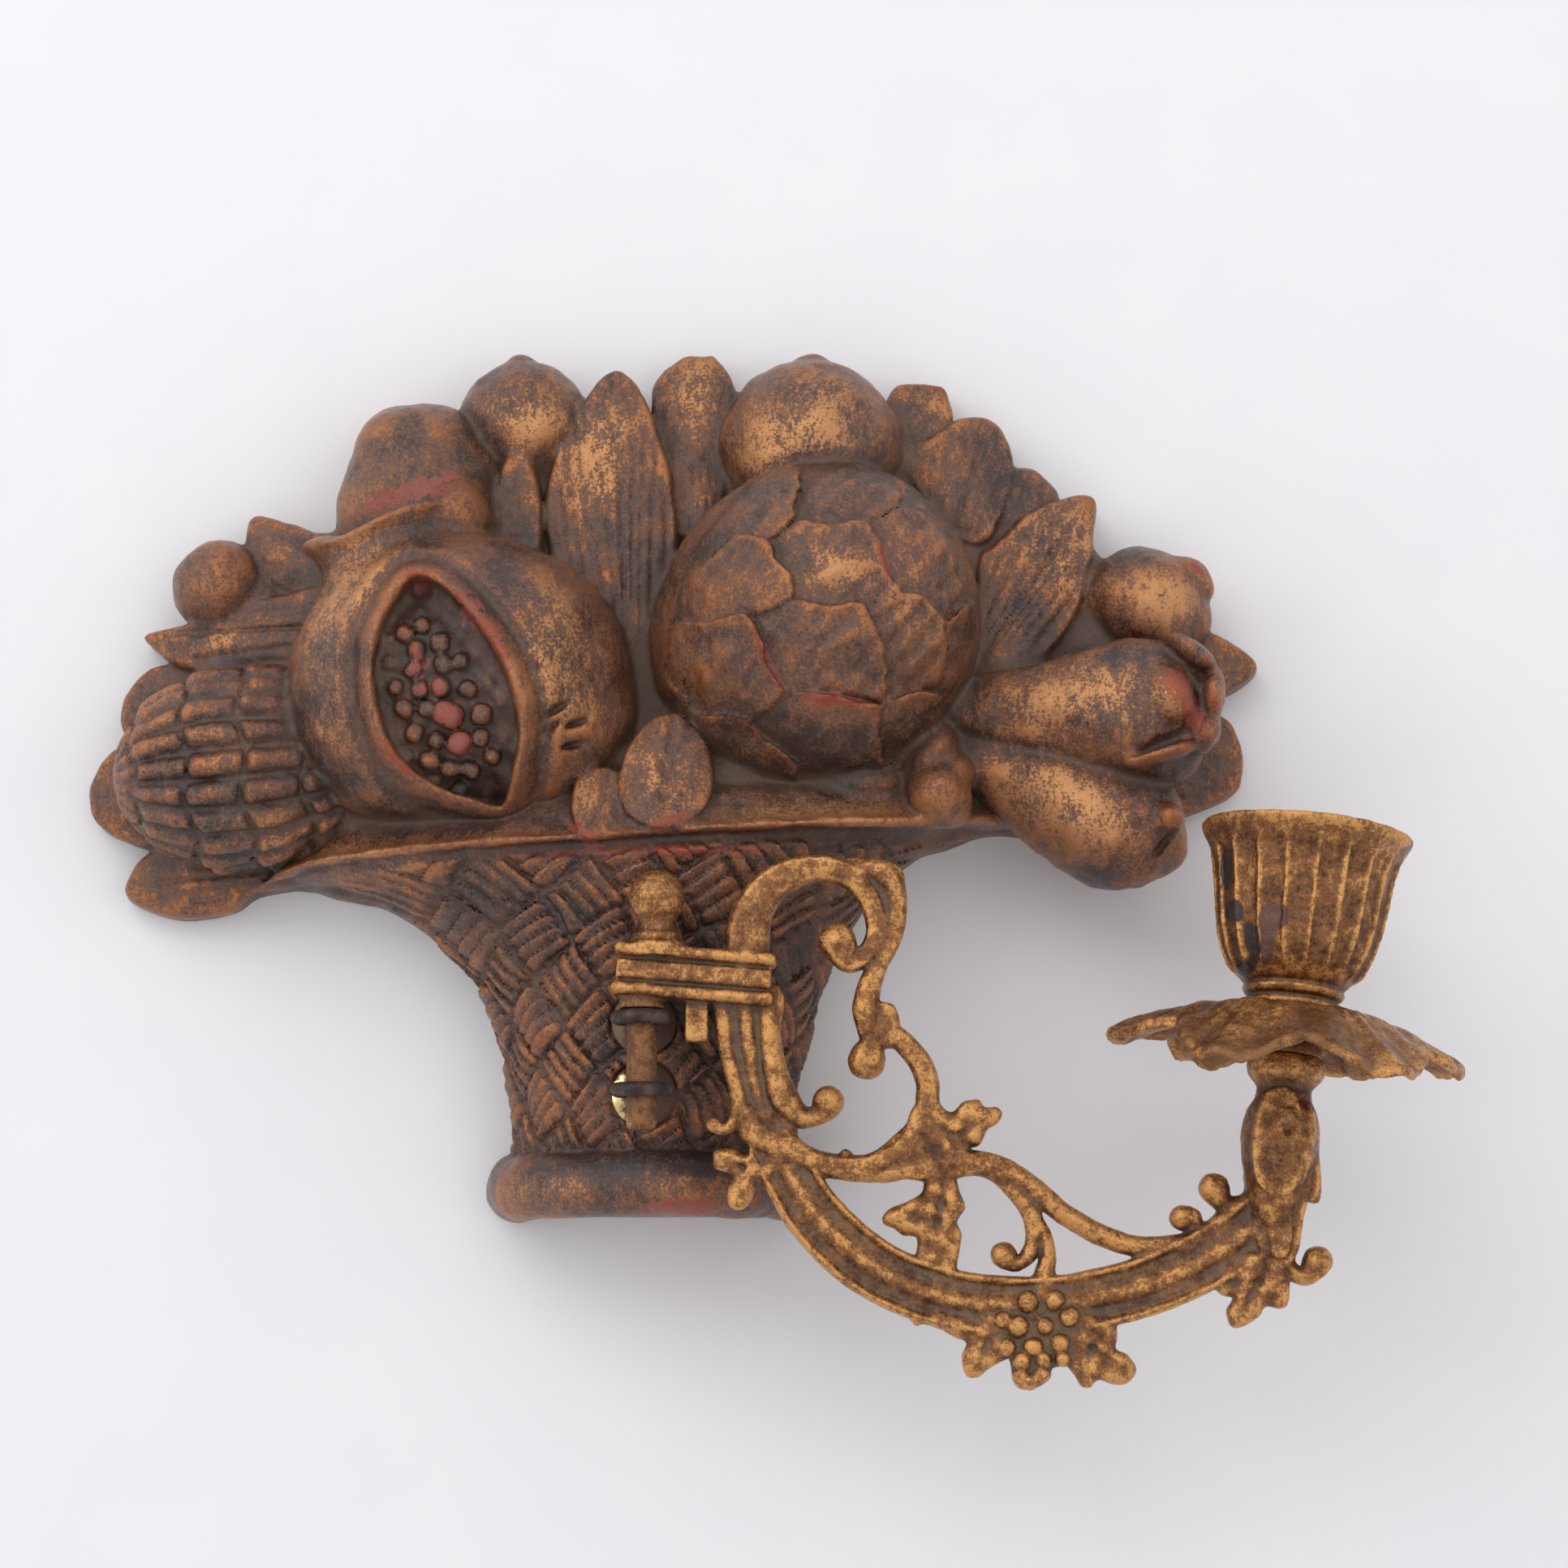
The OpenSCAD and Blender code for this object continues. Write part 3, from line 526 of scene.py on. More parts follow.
def seed(c, r, turn):
    """A rounded, slightly square pip."""
    ca, sa = math.cos(math.radians(turn)), math.sin(math.radians(turn))

    def f(x, d, z):
        q = ((x - c[0]) * ca + (z - c[2]) * sa) / r
        w = (-(x - c[0]) * sa + (z - c[2]) * ca) / (r * 0.92)
        e = (d - c[1]) / (r * 1.05)
        return ((np.abs(q) ** 3 + np.abs(w) ** 3 + np.abs(e) ** 3 + 1e-9) ** (1 / 3) - 1) * r
    return f


def bract_height(x, z):
    """How far the scales of the artichoke stand out over the front view; they rise to the upper right."""
    gx, gz = 0.72, 0.69
    x2, z2 = np.broadcast_arrays(x[:, 0, :], z[:, 0, :])
    out = np.full(x2.shape, -0.9)
    for pts in BRACTS:
        line = np.array(pts)
        xw = x2 + 0.5 * np.sin(z2 * 0.55) + 0.25 * np.sin(z2 * 1.7 + x2)
        m = outline(line, xw, z2 + 0.5 * np.sin(x2 * 0.5 + 1))
        s = line @ np.array([gx, gz])
        t = np.clip((x2 * gx + z2 * gz - s.min()) / (s.max() - s.min()), 0, 1)
        c = line.mean(0)
        side = (x2 - c[0]) * gz - (z2 - c[1]) * gx
        h = -1.0 + 2.7 * t ** 1.2 - 0.002 * side ** 2 + 0.55 * bell(m + 0.6, 0.9) * step(0.35, 0.8, t)
        h = h + 0.18 * np.sin(side * 1.5 + 2 * t) * step(0.1, 0.4, t)
        out = np.where(m < 0.4, np.maximum(out, h - 3.4 * step(-0.3, 0.4, m)), out)
    for a, b, high in FOLDS:
        ex, ez = b[0] - a[0], b[1] - a[1]
        t = ((x2 - a[0]) * ex + (z2 - a[1]) * ez) / (ex * ex + ez * ez)
        side = ((x2 - a[0]) * ez - (z2 - a[1]) * ex) / math.hypot(ex, ez)
        ridge = np.where(side > 0, np.exp(-side / 3.2), np.exp(side / 1.0))
        out = out + high * ridge * step(-0.15, 0.2, t) * step(1.15, 0.8, t)
    q = ((x2 - 36.2) / 36) ** 2 + ((z2 + 18) / 37) ** 2
    out = np.minimum(out, 0.3 + 2.0 * step(0.97, 0.62, q)) * (0.25 + 0.75 * step(0.98, 0.70, q))
    return out[:, None, :]


# lower edge of the rim: x, z
RIM = [(-90, -73.4), (-83, -72), (-73, -69.4), (-58, -68.4), (-50, -67.9), (-33, -66.9), (-16, -66.4),
       (1, -65.2), (18, -63.9), (35, -62.8), (53, -61.8), (70, -59.9), (90, -58.6)]


def rim_line(x):
    return profile(x, RIM)


# the basket: height, half width, depth, x of the middle
BASKET = [(-146, 31.5, 35, 1), (-134, 30.6, 35, 1), (-121, 31.2, 36.6, 1.2), (-110, 33, 38, 1.2),
          (-104, 34.8, 38.6, 1.2), (-97, 37, 39.4, 1.0), (-92, 39.4, 39.8, 0.8), (-88, 42, 40.2, 0.6),
          (-84, 45, 40.6, 0.4), (-79, 48.8, 41, 0.2), (-75, 53, 41.6, 0), (-72, 57, 42, -0.3),
          (-69, 62, 42.4, -0.5), (-66.8, 68, 42.6, -0.7), (-65.8, 74, 42.8, -0.9), (-64, 82, 43, -1),
          (-56, 84, 43, -1)]


def basket_shape(x, d, z):
    """The smooth body of the basket: its half rings grow from the foot to the rim."""
    zz = z - np.tan(math.radians(5)) * (x - 1.5) * step(-104, -76, z)
    a, b, x0 = (profile(zz, BASKET, column) for column in (1, 2, 3))
    p = 2.0 + 0.15 * step(-84, -100, zz)
    q = np.abs(x - x0) / a
    e = np.maximum(d, 0) / b
    r = (q ** p + e ** p) ** (1 / p)
    grad = np.sqrt((q / a) ** 2 + (e / b) ** 2) + 1e-3
    return (r - 1) * r / grad / np.maximum(r, 0.2)


def weave(x, d, z):
    """Height of the basket work: groups of four slanting strips, turned left and right."""
    s = np.arctan2(x - 1.5, np.maximum(d - 5.5, 1.0)) * 37.0
    t = z + 1.4 * np.sin(s * 0.11) + 0.6 * np.sin(s * 0.29 + 1.3)
    s = s + 1.4 * np.sin(z * 0.12 + 0.6) + 0.6 * np.sin(z * 0.33)
    ang = math.radians(34)
    cell, strips = 12.6, 4
    p = (s * math.cos(ang) + t * math.sin(ang)) / cell
    q = (-s * math.sin(ang) + t * math.cos(ang)) / cell
    i, j = np.floor(p), np.floor(q)
    odd = (i + j) % 2 > 0.5
    u = np.where(odd, p - i, q - j)
    w = np.where(odd, q - j, p - i)
    r = np.sin(i * 12.9 + j * 78.2) * 43758.5
    r = r - np.floor(r)
    w = w + (r - 0.5) * 0.12 + (u - 0.5) * (r - 0.5) * 0.25
    f = w * strips - np.floor(w * strips)
    strip = (0.35 + 0.65 * f) * step(0.0, 0.12, f) * step(1.0, 0.86, f)
    cut = u + 0.10 * (f - 0.5)
    ends = step(0.02, 0.12, cut) * step(0.98, 0.88, cut)
    over = 0.8 * np.sin(np.clip(u, 0, 1) * math.pi)
    return strip * (0.2 + 0.8 * ends) * (1.75 + 0.8 * (r - 0.5)) + over * (0.5 + 0.5 * ends)


# rounded bodies that fill the gaps between the fruits: centre, radii
FILLS = [((10, 4, -36), (72, 24, 30)), ((77, 12, -26), (13, 12, 10)), ((4, 14, -42), (13, 18, 12)),
         ((-7, 14, -47.5), (13, 22, 9)), ((18, 14, -51), (20, 23, 9)), ((44, 14, -52), (16, 22, 8)),
         ((-63, 10, -59), (9, 17, 7)), ((-101, 4, -63.5), (8, 7, 7))]

# round fruits and their tips: centre, radii, turn, fillet, unevenness and its phase
FRUITS = [((-95, 8, -5.5), (10.6, 11.5, 10.6), 0, 1.2, 0.3, 1),
          ((-28, 9, 31), (14.8, 15, 14.6), 0, 1.2, 0.5, 1), ((-29, 9, 44.6), (3.4, 4, 2.6), 0, 1.6),
          ((35.5, 13, 24.6), (20.2, 20.5, 20), 0, 1.2, 0.4, 2),
          ((35.6, 12, 43.8), (4.6, 5.5, 2.9), 0, 1.4),
          ((109, 9, -10.4), (14.6, 15.5, 13.4), -20, 1.2, 0.4, 3),
          ((119, 13, -3.4), (4.6, 5.5, 3.2), -40, 1.6), ((121.4, 12, -6.4), (2.6, 4.5, 2.6), -40, 1.4),
          ((61.2, 24, -46.5), (6.4, 12, 8.6), -22, 3, 0.5, 1),
          ((62.8, 30, -54.8), (7.4, 9.5, 6.8), -30, 2.5, 0.7, 2),
          ((66.5, 27, -50), (4, 8, 4.4), 10, 2, 0.4, 3)]

# pomegranate: middle of the body and its radii in x, d and z, and the power of its curve
POME = (-40, 23, -30.2)
POME_R = (37.6, 33, 33)
POME_POWER = 2.25
# its crown: height along its own axis, radius
CROWN = [(-26, 30), (-20, 23), (-15, 17.8), (-11, 15.6), (-7, 15.8), (-3, 17.4), (-0.5, 18.9), (3, 19.2)]
# short cuts in its right cheek: x, z, turn, half length
NICKS = [(-18, -39, 35, 3.6), (-14, -41.5, 20, 4), (-20, -43.5, 40, 3.4), (-15, -46, 15, 3.6)]


def pome_front(x, z):
    """Depth of the pomegranate's front skin."""
    out = 1 - (abs(x - POME[0]) / POME_R[0]) ** POME_POWER - (abs(z - POME[2]) / POME_R[2]) ** POME_POWER
    return POME[1] + POME_R[1] * out ** (1 / POME_POWER)


def gourd_ribs(s, ang):
    """Rows of long swellings, and twenty ribs, round the gourd's axis."""
    n = ang / (2 * math.pi) * 20 + 0.25
    rib = 1 - (np.abs((n - np.floor(n)) - 0.5) * 2) ** 2.2
    row = np.interp(s - 23 + 0.9 * np.sin(ang * 7), [-34, -19.5, -7, 5.5, 18, 32], [0, 1, 2, 3, 4, 5])
    u = row - np.floor(row)
    swell = step(1.0, 0.8, u) * (0.45 + 0.55 * u)
    return 3.1 * rib * (0.12 + 0.95 * swell) - 1.5


def calyx(at, n):
    """The ring of n points at the end of a pear, at the distance at along its axis."""
    def f(s, ang):
        return (1.5 * bell(s - at, 3.2) * (0.4 + 0.6 * np.cos(n * ang + 0.7))
                + 0.3 * np.sin(ang * 3 + s * 0.2))
    return f


def carve():
    g = Field([-126.5, -1.8, -147], [136.5, 63, 50.5], 0.6)

    # ground behind the fruit
    pts = smooth_line(BLOCK, 5, True)

    def ground(x, d, z):
        m = front_outline(pts, x, z)
        dep = 17.5 - 7 * np.exp(np.minimum(m, 0) / 9)
        dep = dep + 1.6 * np.sin(x * 0.22 + z * 0.1) * np.sin(z * 0.19 - x * 0.07)
        return smax(m, d - dep, 5.0)
    g.add([-126, -2, -90], [130, 26, 50], ground, 0)

    # basket, woven
    def basket(x, d, z):
        f = basket_shape(x, d, z)
        fade = step(-133.5, -129.5, z) * step(-1.0, -3.5, z - rim_line(x))
        fade = fade * (0.08 + 0.92 * step(2, 14, d))
        f = f - weave(x, d, z) * fade + 0.9
        return smax(smax(f, -134 - z, 2.0), z - rim_line(x) - 1, 1.0)
    g.add([-90, -2, -140], [92, 48, -54], basket, 1.0)

    # roll round the foot
    def foot(x, d, z):
        r = np.hypot(x - 0.5, d - 5.5) - 29.2
        r = np.where(d < 5.5, np.abs(x - 0.5) - 29.2, r)
        ring = (np.hypot(r / 6.5, (z + 137.6) / 7.0) - 1) * 6.6
        ring = ring + 0.35 * np.sin(x * 0.21 + 1) * np.sin(z * 0.3 + x * 0.05)
        return smin(ring, np.maximum(r, np.abs(z + 138.2) - 5.4), 1.0)
    g.add([-40, -2, -147], [40, 44, -128], foot, 0.8)

    # rim: a smooth band that leans back above a thin lip
    def rim(x, d, z):
        zz = z - rim_line(x)
        half_width, depth, power = 85.0, 45.6, 2.1
        q = np.abs(x + 1) / half_width
        e = np.maximum(d, 0) / depth
        r = (q ** power + e ** power) ** (1 / power)
        grad = np.sqrt((q / half_width) ** 2 + (e / depth) ** 2) + 1e-3
        f = (r - 1) / grad / np.maximum(r, 0.3)
        f = f + 0.85 * np.maximum(zz - 1.0, 0) + 0.25 * np.sin(x * 0.33) * bell(zz, 2)
        f = f - 0.5 * bell(zz - 1.0, 0.9)
        return smax(smax(f, -zz, 0.7), zz - 10.5, 3.0)
    g.add([-92, -2, -78], [92, 48, -38], rim, 0.5)

    # leaves against the wall
    for args in LEAVES:
        carved_leaf(g, *args)

    # filling between the fruits
    for c, r in FILLS:
        lo, hi = around(c, [size + 3 for size in r])
        g.add([lo[0], -2, lo[2]], hi, ellipsoid(c, r), 2.0)

    # round fruits
    def fruit(c, r, turn=0.0, k=1.2, facets=0.0, seed=0.0):
        base = ellipsoid(c, r, turn)

        def f(x, d, z):
            out = base(x, d, z)
            if facets:
                out = out + facets * np.sin((x - c[0]) * 0.35 + seed) * np.sin((z - c[2]) * 0.31 + seed * 2)
            return out
        g.add(*around(c, [max(r[0], r[2]) + 4, r[1] + 4, max(r[0], r[2]) + 4]), f, k)

    def fig(x, d, z):
        q = ((x + 50.5) * 0.985 - (z - 10) * 0.17) / 18.6
        w = ((x + 50.5) * 0.17 + (z - 10) * 0.985) / 24.6
        e = (d - 12) / 19
        n = 2.0 + 0.9 * step(0.2, -0.9, q) * step(0.2, 0.9, w)
        r = (np.abs(q) ** n + np.abs(w) ** n + np.abs(e) ** 2.2 + 1e-9) ** (1 / n)
        return (r - 1) * 17 + 0.3 * np.sin(x * 0.33) * np.sin(z * 0.27)

    g.add([-78, -2, -22], [-26, 36, 42], fig, 1.2)
    for x, z in ((-65.6, 12.6), (-64.6, 17.6), (-62.8, 22.4), (-59.4, 24.6)):
        g.cut([x - 5, 18, z - 5], [x + 5, 36, z + 5], ellipsoid([x, 27.5, z], [3.6, 2.0, 0.8], 38), 0.9)
    for args in FRUITS:
        fruit(*args)

    # pomegranate: body, split with raised lips, and flared crown, which leans 20 degrees to the left and
    # 10 to the front (the factors are the cosines and sines of these)
    def crown(x, d, z):
        up = -(x + 57.0) * 0.342 + (z - 6.2) * 0.94
        s = up * 0.985 + (d - 25) * 0.17
        t = (x + 57.0) * 0.94 + (z - 6.2) * 0.342
        e = (d - 25) * 0.985 - up * 0.17
        r = np.sqrt(t * t + e * e)
        ang = np.arctan2(e, t)
        rr = profile(s, CROWN)
        top = 0.2 + 1.0 * np.cos(4 * ang + 0.9)
        out = smax(smax((r - rr) * 0.85, s - top, 0.8), -17 - s, 5.0)
        hollow = smax(r - 14.6, -4.5 - s + 0.02 * r * r, 2.0)
        return smax(out, -hollow, 1.0)

    def body(x, d, z):
        t = np.clip((z + 30) / 33, -0.6, 1)
        q = np.abs(x - POME[0] + 0.8 * t) / POME_R[0] * (1 + 0.09 * t)
        e, w = np.abs(d - POME[1]) / POME_R[1], np.abs(z - POME[2]) / POME_R[2]
        total = q ** POME_POWER + e ** POME_POWER + w ** POME_POWER + 1e-9
        return (total ** (1 / POME_POWER) - 1) * POME_R[1]

    fruit([-41.4, 25, 5.6], [7.4, 13, 8.0], 15, 6, 0.6, 1)
    split = smooth_line(ALMOND, 5, True)

    def pomegranate(x, d, z):
        f = smin(body(x, d, z), crown(x, d, z), 7.0)
        f = f + 0.4 * np.sin(x * 0.16 + z * 0.11) * np.sin(z * 0.2 - x * 0.08)
        m = front_outline(split, x, z)
        lip = (1.9 * bell(m - 0.4, 1.6) + 0.9 * bell(m + 0.9, 0.8)
               - 0.9 * bell(m - 3.9, 1.5) + 0.35 * bell(m - 6.4, 1.8))
        floor = 4.8 + 0.6 * np.sin(x * 0.9) * np.sin(z * 0.8) - 2.0 * np.exp(np.minimum(m + 1.6, 0) / 2.2)
        pit = smax(m + 1.6, -(f + floor), 1.2)
        return smax(f - lip * step(35, 42, d), -pit, 0.7)
    g.add([-80, -2, -66], [2, 61, 20], pomegranate, 1.4)
    for x, z, r in SEEDS:
        at = [x, pome_front(x, z) - 4.9, z]
        g.add(*around(at, [r + 3] * 3), seed(at, r * 0.95, x * 40), 0.05)
    for x, z, turn, length in NICKS:
        nick = ellipsoid([x, pome_front(x, z), z], [length, 2.1, 0.7], turn)
        g.cut([x - 8, 40, z - 6], [x + 8, 60, z + 6], nick, 0.9)

    # artichoke
    egg = ellipsoid([36.2, 24, -18.0], [35, 33.4, 38.3], -35)

    def artichoke(x, d, z):
        return egg(x, d, z) - (bract_height(x, z) - 0.3) * step(12, 30, d)
    g.add([-4, -2, -58], [77, 62, 23], artichoke, 1.2)

    # ribbed gourd, lying with its axis from right to left
    gourd = turned((-70, 18, -45.5), (-116, 17, -49.5),
                   [(-8, 13), (0, 18), (8, 20.8), (16, 21.8), (24, 21.4), (32, 19), (38, 15.5),
                    (42, 11.5), (45, 6.5), (46.6, 1)], gourd_ribs)
    g.add([-120, -2, -76], [-66, 46, -20], gourd, 1.0)

    # two pears with their petals, and the dark hollows between those
    pear1 = turned((62, 22, -35), (123, 27, -36.8),
                   [(0, 2), (3, 5.5), (10, 7.6), (18, 9.4), (26, 11.8), (34, 14.4), (42, 16),
                    (48, 15.8), (53, 13.6), (57, 10.4), (60, 6), (61.2, 2)], calyx(55.5, 4))
    g.add([58, -2, -58], [128, 47, -14], pear1, 1.0)
    pear2 = turned((62, 20, -40), (116, 21, -67.5),
                   [(0, 2), (3, 5), (10, 7.2), (20, 9.6), (30, 12.6), (38, 14.4), (45, 14.4),
                    (51, 12.4), (55.5, 9), (58.5, 5), (60.2, 1.5)], calyx(54, 3))
    g.add([58, -2, -80], [122, 42, -34], pear2, 1.0)
    fruit([111.4, 38.6, -34.6], [5.2, 5.0, 6.4], 20, 1.0, 0.3, 1)
    for (x, d, z), r, turn in PETALS:
        g.add(*around([x, d, z], [max(r) + 3] * 3), ellipsoid([x, d, z], r, turn), 1.3)
    for lo, hi, c, r, turn, k in HOLLOWS:
        g.cut(lo, hi, ellipsoid(c, r, turn), k)

    # leaves that hang over the rim
    slim_leaf(g, (-8.5, -50), (-11.5, -66), 12.5, 40, 45.6, 1.2, 0.05, 0.4, 0.5, 0.2)
    slim_leaf(g, (6, -38), (2.5, -64), 20, 38, 45.8, 1.6, 0.02, 0.6, 0.45, 0.25)

    # seats of the rosettes: height, depth of the floor
    for height, floor in ((-104.1, 37.6), (-119.1, 35.7)):
        g.cut([-10, 30, height - 8], [10, 62, height + 8],
              lambda x, d, z: np.maximum(np.hypot(x, z - height) - 7.3, floor - d), 0.2)

    # flat back, with the room for the hanger
    g.v = np.maximum(g.v, -g.ax[1][None, :, None])

    def slot(low, high, half_width, depth):
        return lambda x, d, z: np.maximum(np.hypot(x, z - np.clip(z, low, high)) - half_width, d - depth)
    g.cut([-10, -2, -24], [10, 3, 29], slot(-14, 19, 7.55, 1.62), 0)
    g.cut([-8, -2, -8], [8, 10, 17], slot(0, 9, 5.8, 9), 0)
    return g


def spots(verts, rows):
    """Soft patches over the front view: x, z, size across, size along, turn, strength."""
    out = np.zeros(len(verts))
    for x, z, a, b, turn, s in rows:
        ca, sa = math.cos(math.radians(turn)), math.sin(math.radians(turn))
        u = ((verts[:, 0] - x) * ca + (verts[:, 2] - z) * sa) / a
        w = (-(verts[:, 0] - x) * sa + (verts[:, 2] - z) * ca) / b
        out += s * np.exp(-(u * u + w * w))
    return out


# wear over the front view, as spots() takes it; the gold spots also place painted highlights
GOLD_AND_HIGHLIGHT = [(-41, -36, 13, 20, 15, -0.7), (30, 22, 15, 7, 15, 0.9), (36, 34, 10, 6, 0, 0.5),
        (-11, 22, 7, 16, 5, 0.7), (-28, 30, 9, 7, 0, 0.6), (-18, -30, 10, 16, 10, 0.8),
        (-68, -28, 6, 24, 5, 0.6), (-60, -8, 8, 10, 0, 0.6), (95, -34, 20, 8, 0, 0.9),
        (92, -56, 18, 8, -28, 0.8), (90, 2, 9, 12, 40, 0.8), (112, -10, 9, 7, 0, 0.7),
        (40, -10, 10, 6, 0, 0.6), (58, -15, 7, 9, 0, 0.4), (-100, -48, 12, 12, 0, 0.3),
        (10, 38, 5, 10, 0, 0.7), (-20, -138, 12, 3, 0, 0.5), (8, -138, 14, 3, 0, 0.25),
        (4, -54, 7, 7, 0, 0.6), (40, -59, 26, 4, 3, 0.7), (-68, -66, 24, 4, -10, 0.6),
        (63, 34, 6, 6, 0, 0.4), (-12, -58, 5, 5, 0, 0.4), (-95, -18, 9, 4, 0, 0.5)]
RED = [(-52, 11.5, 13, 2.4, 20, 1.1), (-64, 33, 8, 3, 10, 0.9), (-43, 11, 4, 2, 24, 0.6),
       (50.5, -8, 1.4, 5, 15, 1.0), (39, -37.5, 8, 1.4, 0, 1.3), (26.5, -30, 1.2, 6, 25, 0.9),
       (55, 12, 1.5, 3, 0, 0.9), (113, -32, 5, 5, 0, 0.9), (117, -40, 3, 5, 0, 0.8),
       (121, -2.5, 3, 2.5, 0, 1.0), (64, 40.5, 4, 1.6, -10, 1.0), (76, 32, 4, 1.6, -30, 1.0),
       (-13, -64.5, 5, 1.4, -40, 1.1), (6, -62, 6, 1.2, 15, 1.1), (-10, -68, 26, 0.9, 3, 0.9),
       (-36, -19, 3, 6, 30, 0.8), (-47, -12.5, 2.5, 2.5, 0, 0.9), (-30, -26, 1.4, 5, 25, 0.7),
       (35.5, 46, 4, 1.5, 0, 0.8), (-41, -40.4, 3.2, 3.2, 0, 0.9), (-38.5, -46.5, 3, 3, 0, 0.9),
       (-47, -30, 3, 3, 0, 0.7), (-43.6, -34.6, 3, 2, 0, 0.8), (8, -143, 14, 2.2, 0, 0.9),
       (5, -76, 3.5, 2.2, 20, 1.0), (10, -68.5, 20, 1.0, 4, 0.7), (-52, -50, 5, 1.4, -45, 0.6),
       (-88, -64, 1.5, 1.5, 0, 0.4), (103, -57, 4, 1.4, 0, 0.6), (107, -64, 3, 1.5, 0, 0.6)]
# the dark spots are partly painted shade: in the gaps between the fruits, under the pears and the rim, and
# above the foot
DARK_AND_SHADE = [(0, -139, 33, 8, 0, 0.5), (-88, -48, 22, 20, 0, 0.45), (-41, -36, 12, 19, 15, 0.8),
        (0, -92, 60, 26, 0, 0.75), (-92, -58, 24, 12, 0, 0.5), (0, -133, 34, 4, 0, 0.6),
        (40, 10, 30, 6, 8, 0.8), (14, -4, 8, 8, 50, 0.6), (95, -24, 24, 4, -3, 1.0),
        (-24, -12, 9, 8, 30, 0.8), (-70, -42, 6, 12, 0, 0.6), (100, -72, 16, 4, 20, 0.8),
        (34, -50, 22, 7, 0, 0.9), (12, -134, 30, 3, 0, 0.5), (-108, -2, 8, 6, 0, 0.4),
        (104, 0, 10, 5, 0, 0.7), (20, -44, 10, 6, 0, 0.6), (-8, -28, 3, 14, 0, 0.6),
        (18, -29, 4, 4, 0, 0.3), (60, -54, 6, 4, 0, 0.7), (-24, 43, 10, 4, 0, 0.5),
        (-9, 41, 3, 3, 0, 0.6), (104, -44, 16, 4, -20, 0.5)]


def plaque_piece():
    g = carve()
    verts, quads = surface(g)
    edges = edges_of(quads)
    n = len(verts)
    back = verts[:, 1] < 1.7
    soft = relax(verts, edges, n, 2, 0.5)
    woven = step(-66, -70, verts[:, 2])[:, None]
    soft = soft * (1 - 0.75 * woven) + verts * 0.75 * woven
    verts = np.where(back[:, None], verts, soft)
    nrm = vertex_normals(verts, quads)
    front = step(1.7, 5, verts[:, 1])
    work = swing(verts, 7.0, 1, 0.9) + swing(verts, 3.0, 2, 0.42) + swing(verts, 1.4, 3, 0.16)
    work *= 1 - 0.5 * bell(verts[:, 0], 9) * step(-95, -100, verts[:, 2])
    verts = verts + nrm * (work * front)[:, None]
    verts[:, 0] = np.maximum(verts[:, 0], CAD_BOX[0][0] * 1000 + BOX_ROOM)
    verts[:, 1] = np.maximum(verts[:, 1], 0)
    verts[:, 2] = np.minimum(verts[:, 2], CAD_BOX[1][2] * 1000 - BOX_ROOM)
    # gold holds the gold spots, partly painted highlight, and dark holds the dark spots, partly painted
    # shade
    att = {"edge": relax(fullness(g, verts, 0.9), edges, n, 1), "cav": fullness(g, verts, 2.4),
           "deep": fullness(g, verts, 7.0), "gold": spots(verts, GOLD_AND_HIGHLIGHT), "red": spots(verts, RED),
           "dark": spots(verts, DARK_AND_SHADE), "bare": step(3.5, 1.2, verts[:, 1])}
    return make_object("carved_plaque", verts, quads, att)


# ---- the cast arm ----

# lines of the casting, front view: x, z, half width
HOOK = [(21.6, -90.5, 5.0), (22.4, -83.9, 4.6), (25.0, -78.6, 4.1), (29.3, -75, 3.7),
        (34.5, -73.3, 3.2), (39.4, -73.3, 2.8), (44.2, -75.4, 2.7), (47.2, -79.4, 2.5),
        (48.8, -84.2, 2.4), (48.2, -88.3, 2.3), (46, -91.2, 2.3), (43, -92, 2.8), (40.6, -88.4, 4.1)]
OUTER = [(44.6, -73.4, 2.0), (49.8, -74.2, 3.0), (52.4, -77.8, 2.5), (52.6, -83.6, 2.3),
         (51.4, -88.5, 2.1), (49, -93.3, 2.2), (47.1, -98.1, 2.7), (46.4, -103.2, 2.9),
         (48.3, -106.4, 2.5), (51.3, -104.4, 2.0)]
LOWER = [(46.6, -113, 4.1), (48.0, -109.2, 2.3), (50.6, -108, 2.4), (53.6, -108.8, 2.4),
         (57.3, -112.8, 2.6), (59.1, -117.4, 2.6), (59.1, -122.2, 2.6), (57.2, -127, 2.4),
         (53, -131.5, 2.3), (47.6, -134.4, 2.4), (41.7, -134.9, 2.6), (34.5, -133.5, 2.7),
         (29.7, -130.6, 3.1)]
LEGS = [
    [(16.9, -99, 1.9), (16.9, -104.2, 1.9), (17.6, -110.2, 1.9), (19, -116.2, 1.9), (20.2, -121, 2.0),
     (19.5, -125.2, 1.7), (17.1, -127.2, 1.4), (14.9, -126.2, 1.8)],
    [(21.4, -99, 2.0), (21.6, -104.2, 2.1), (22.2, -110.2, 2.1), (23.2, -116.2, 1.9), (24.6, -123, 1.6)],
    [(26.2, -99, 2.3), (26.2, -104.2, 2.4), (26.6, -110.2, 2.5), (27.6, -116.2, 2.9),
     (29.6, -121.6, 3.3), (33, -124.6, 2.6), (36.6, -124.2, 2.3), (38.7, -121.6, 3.5)],
]
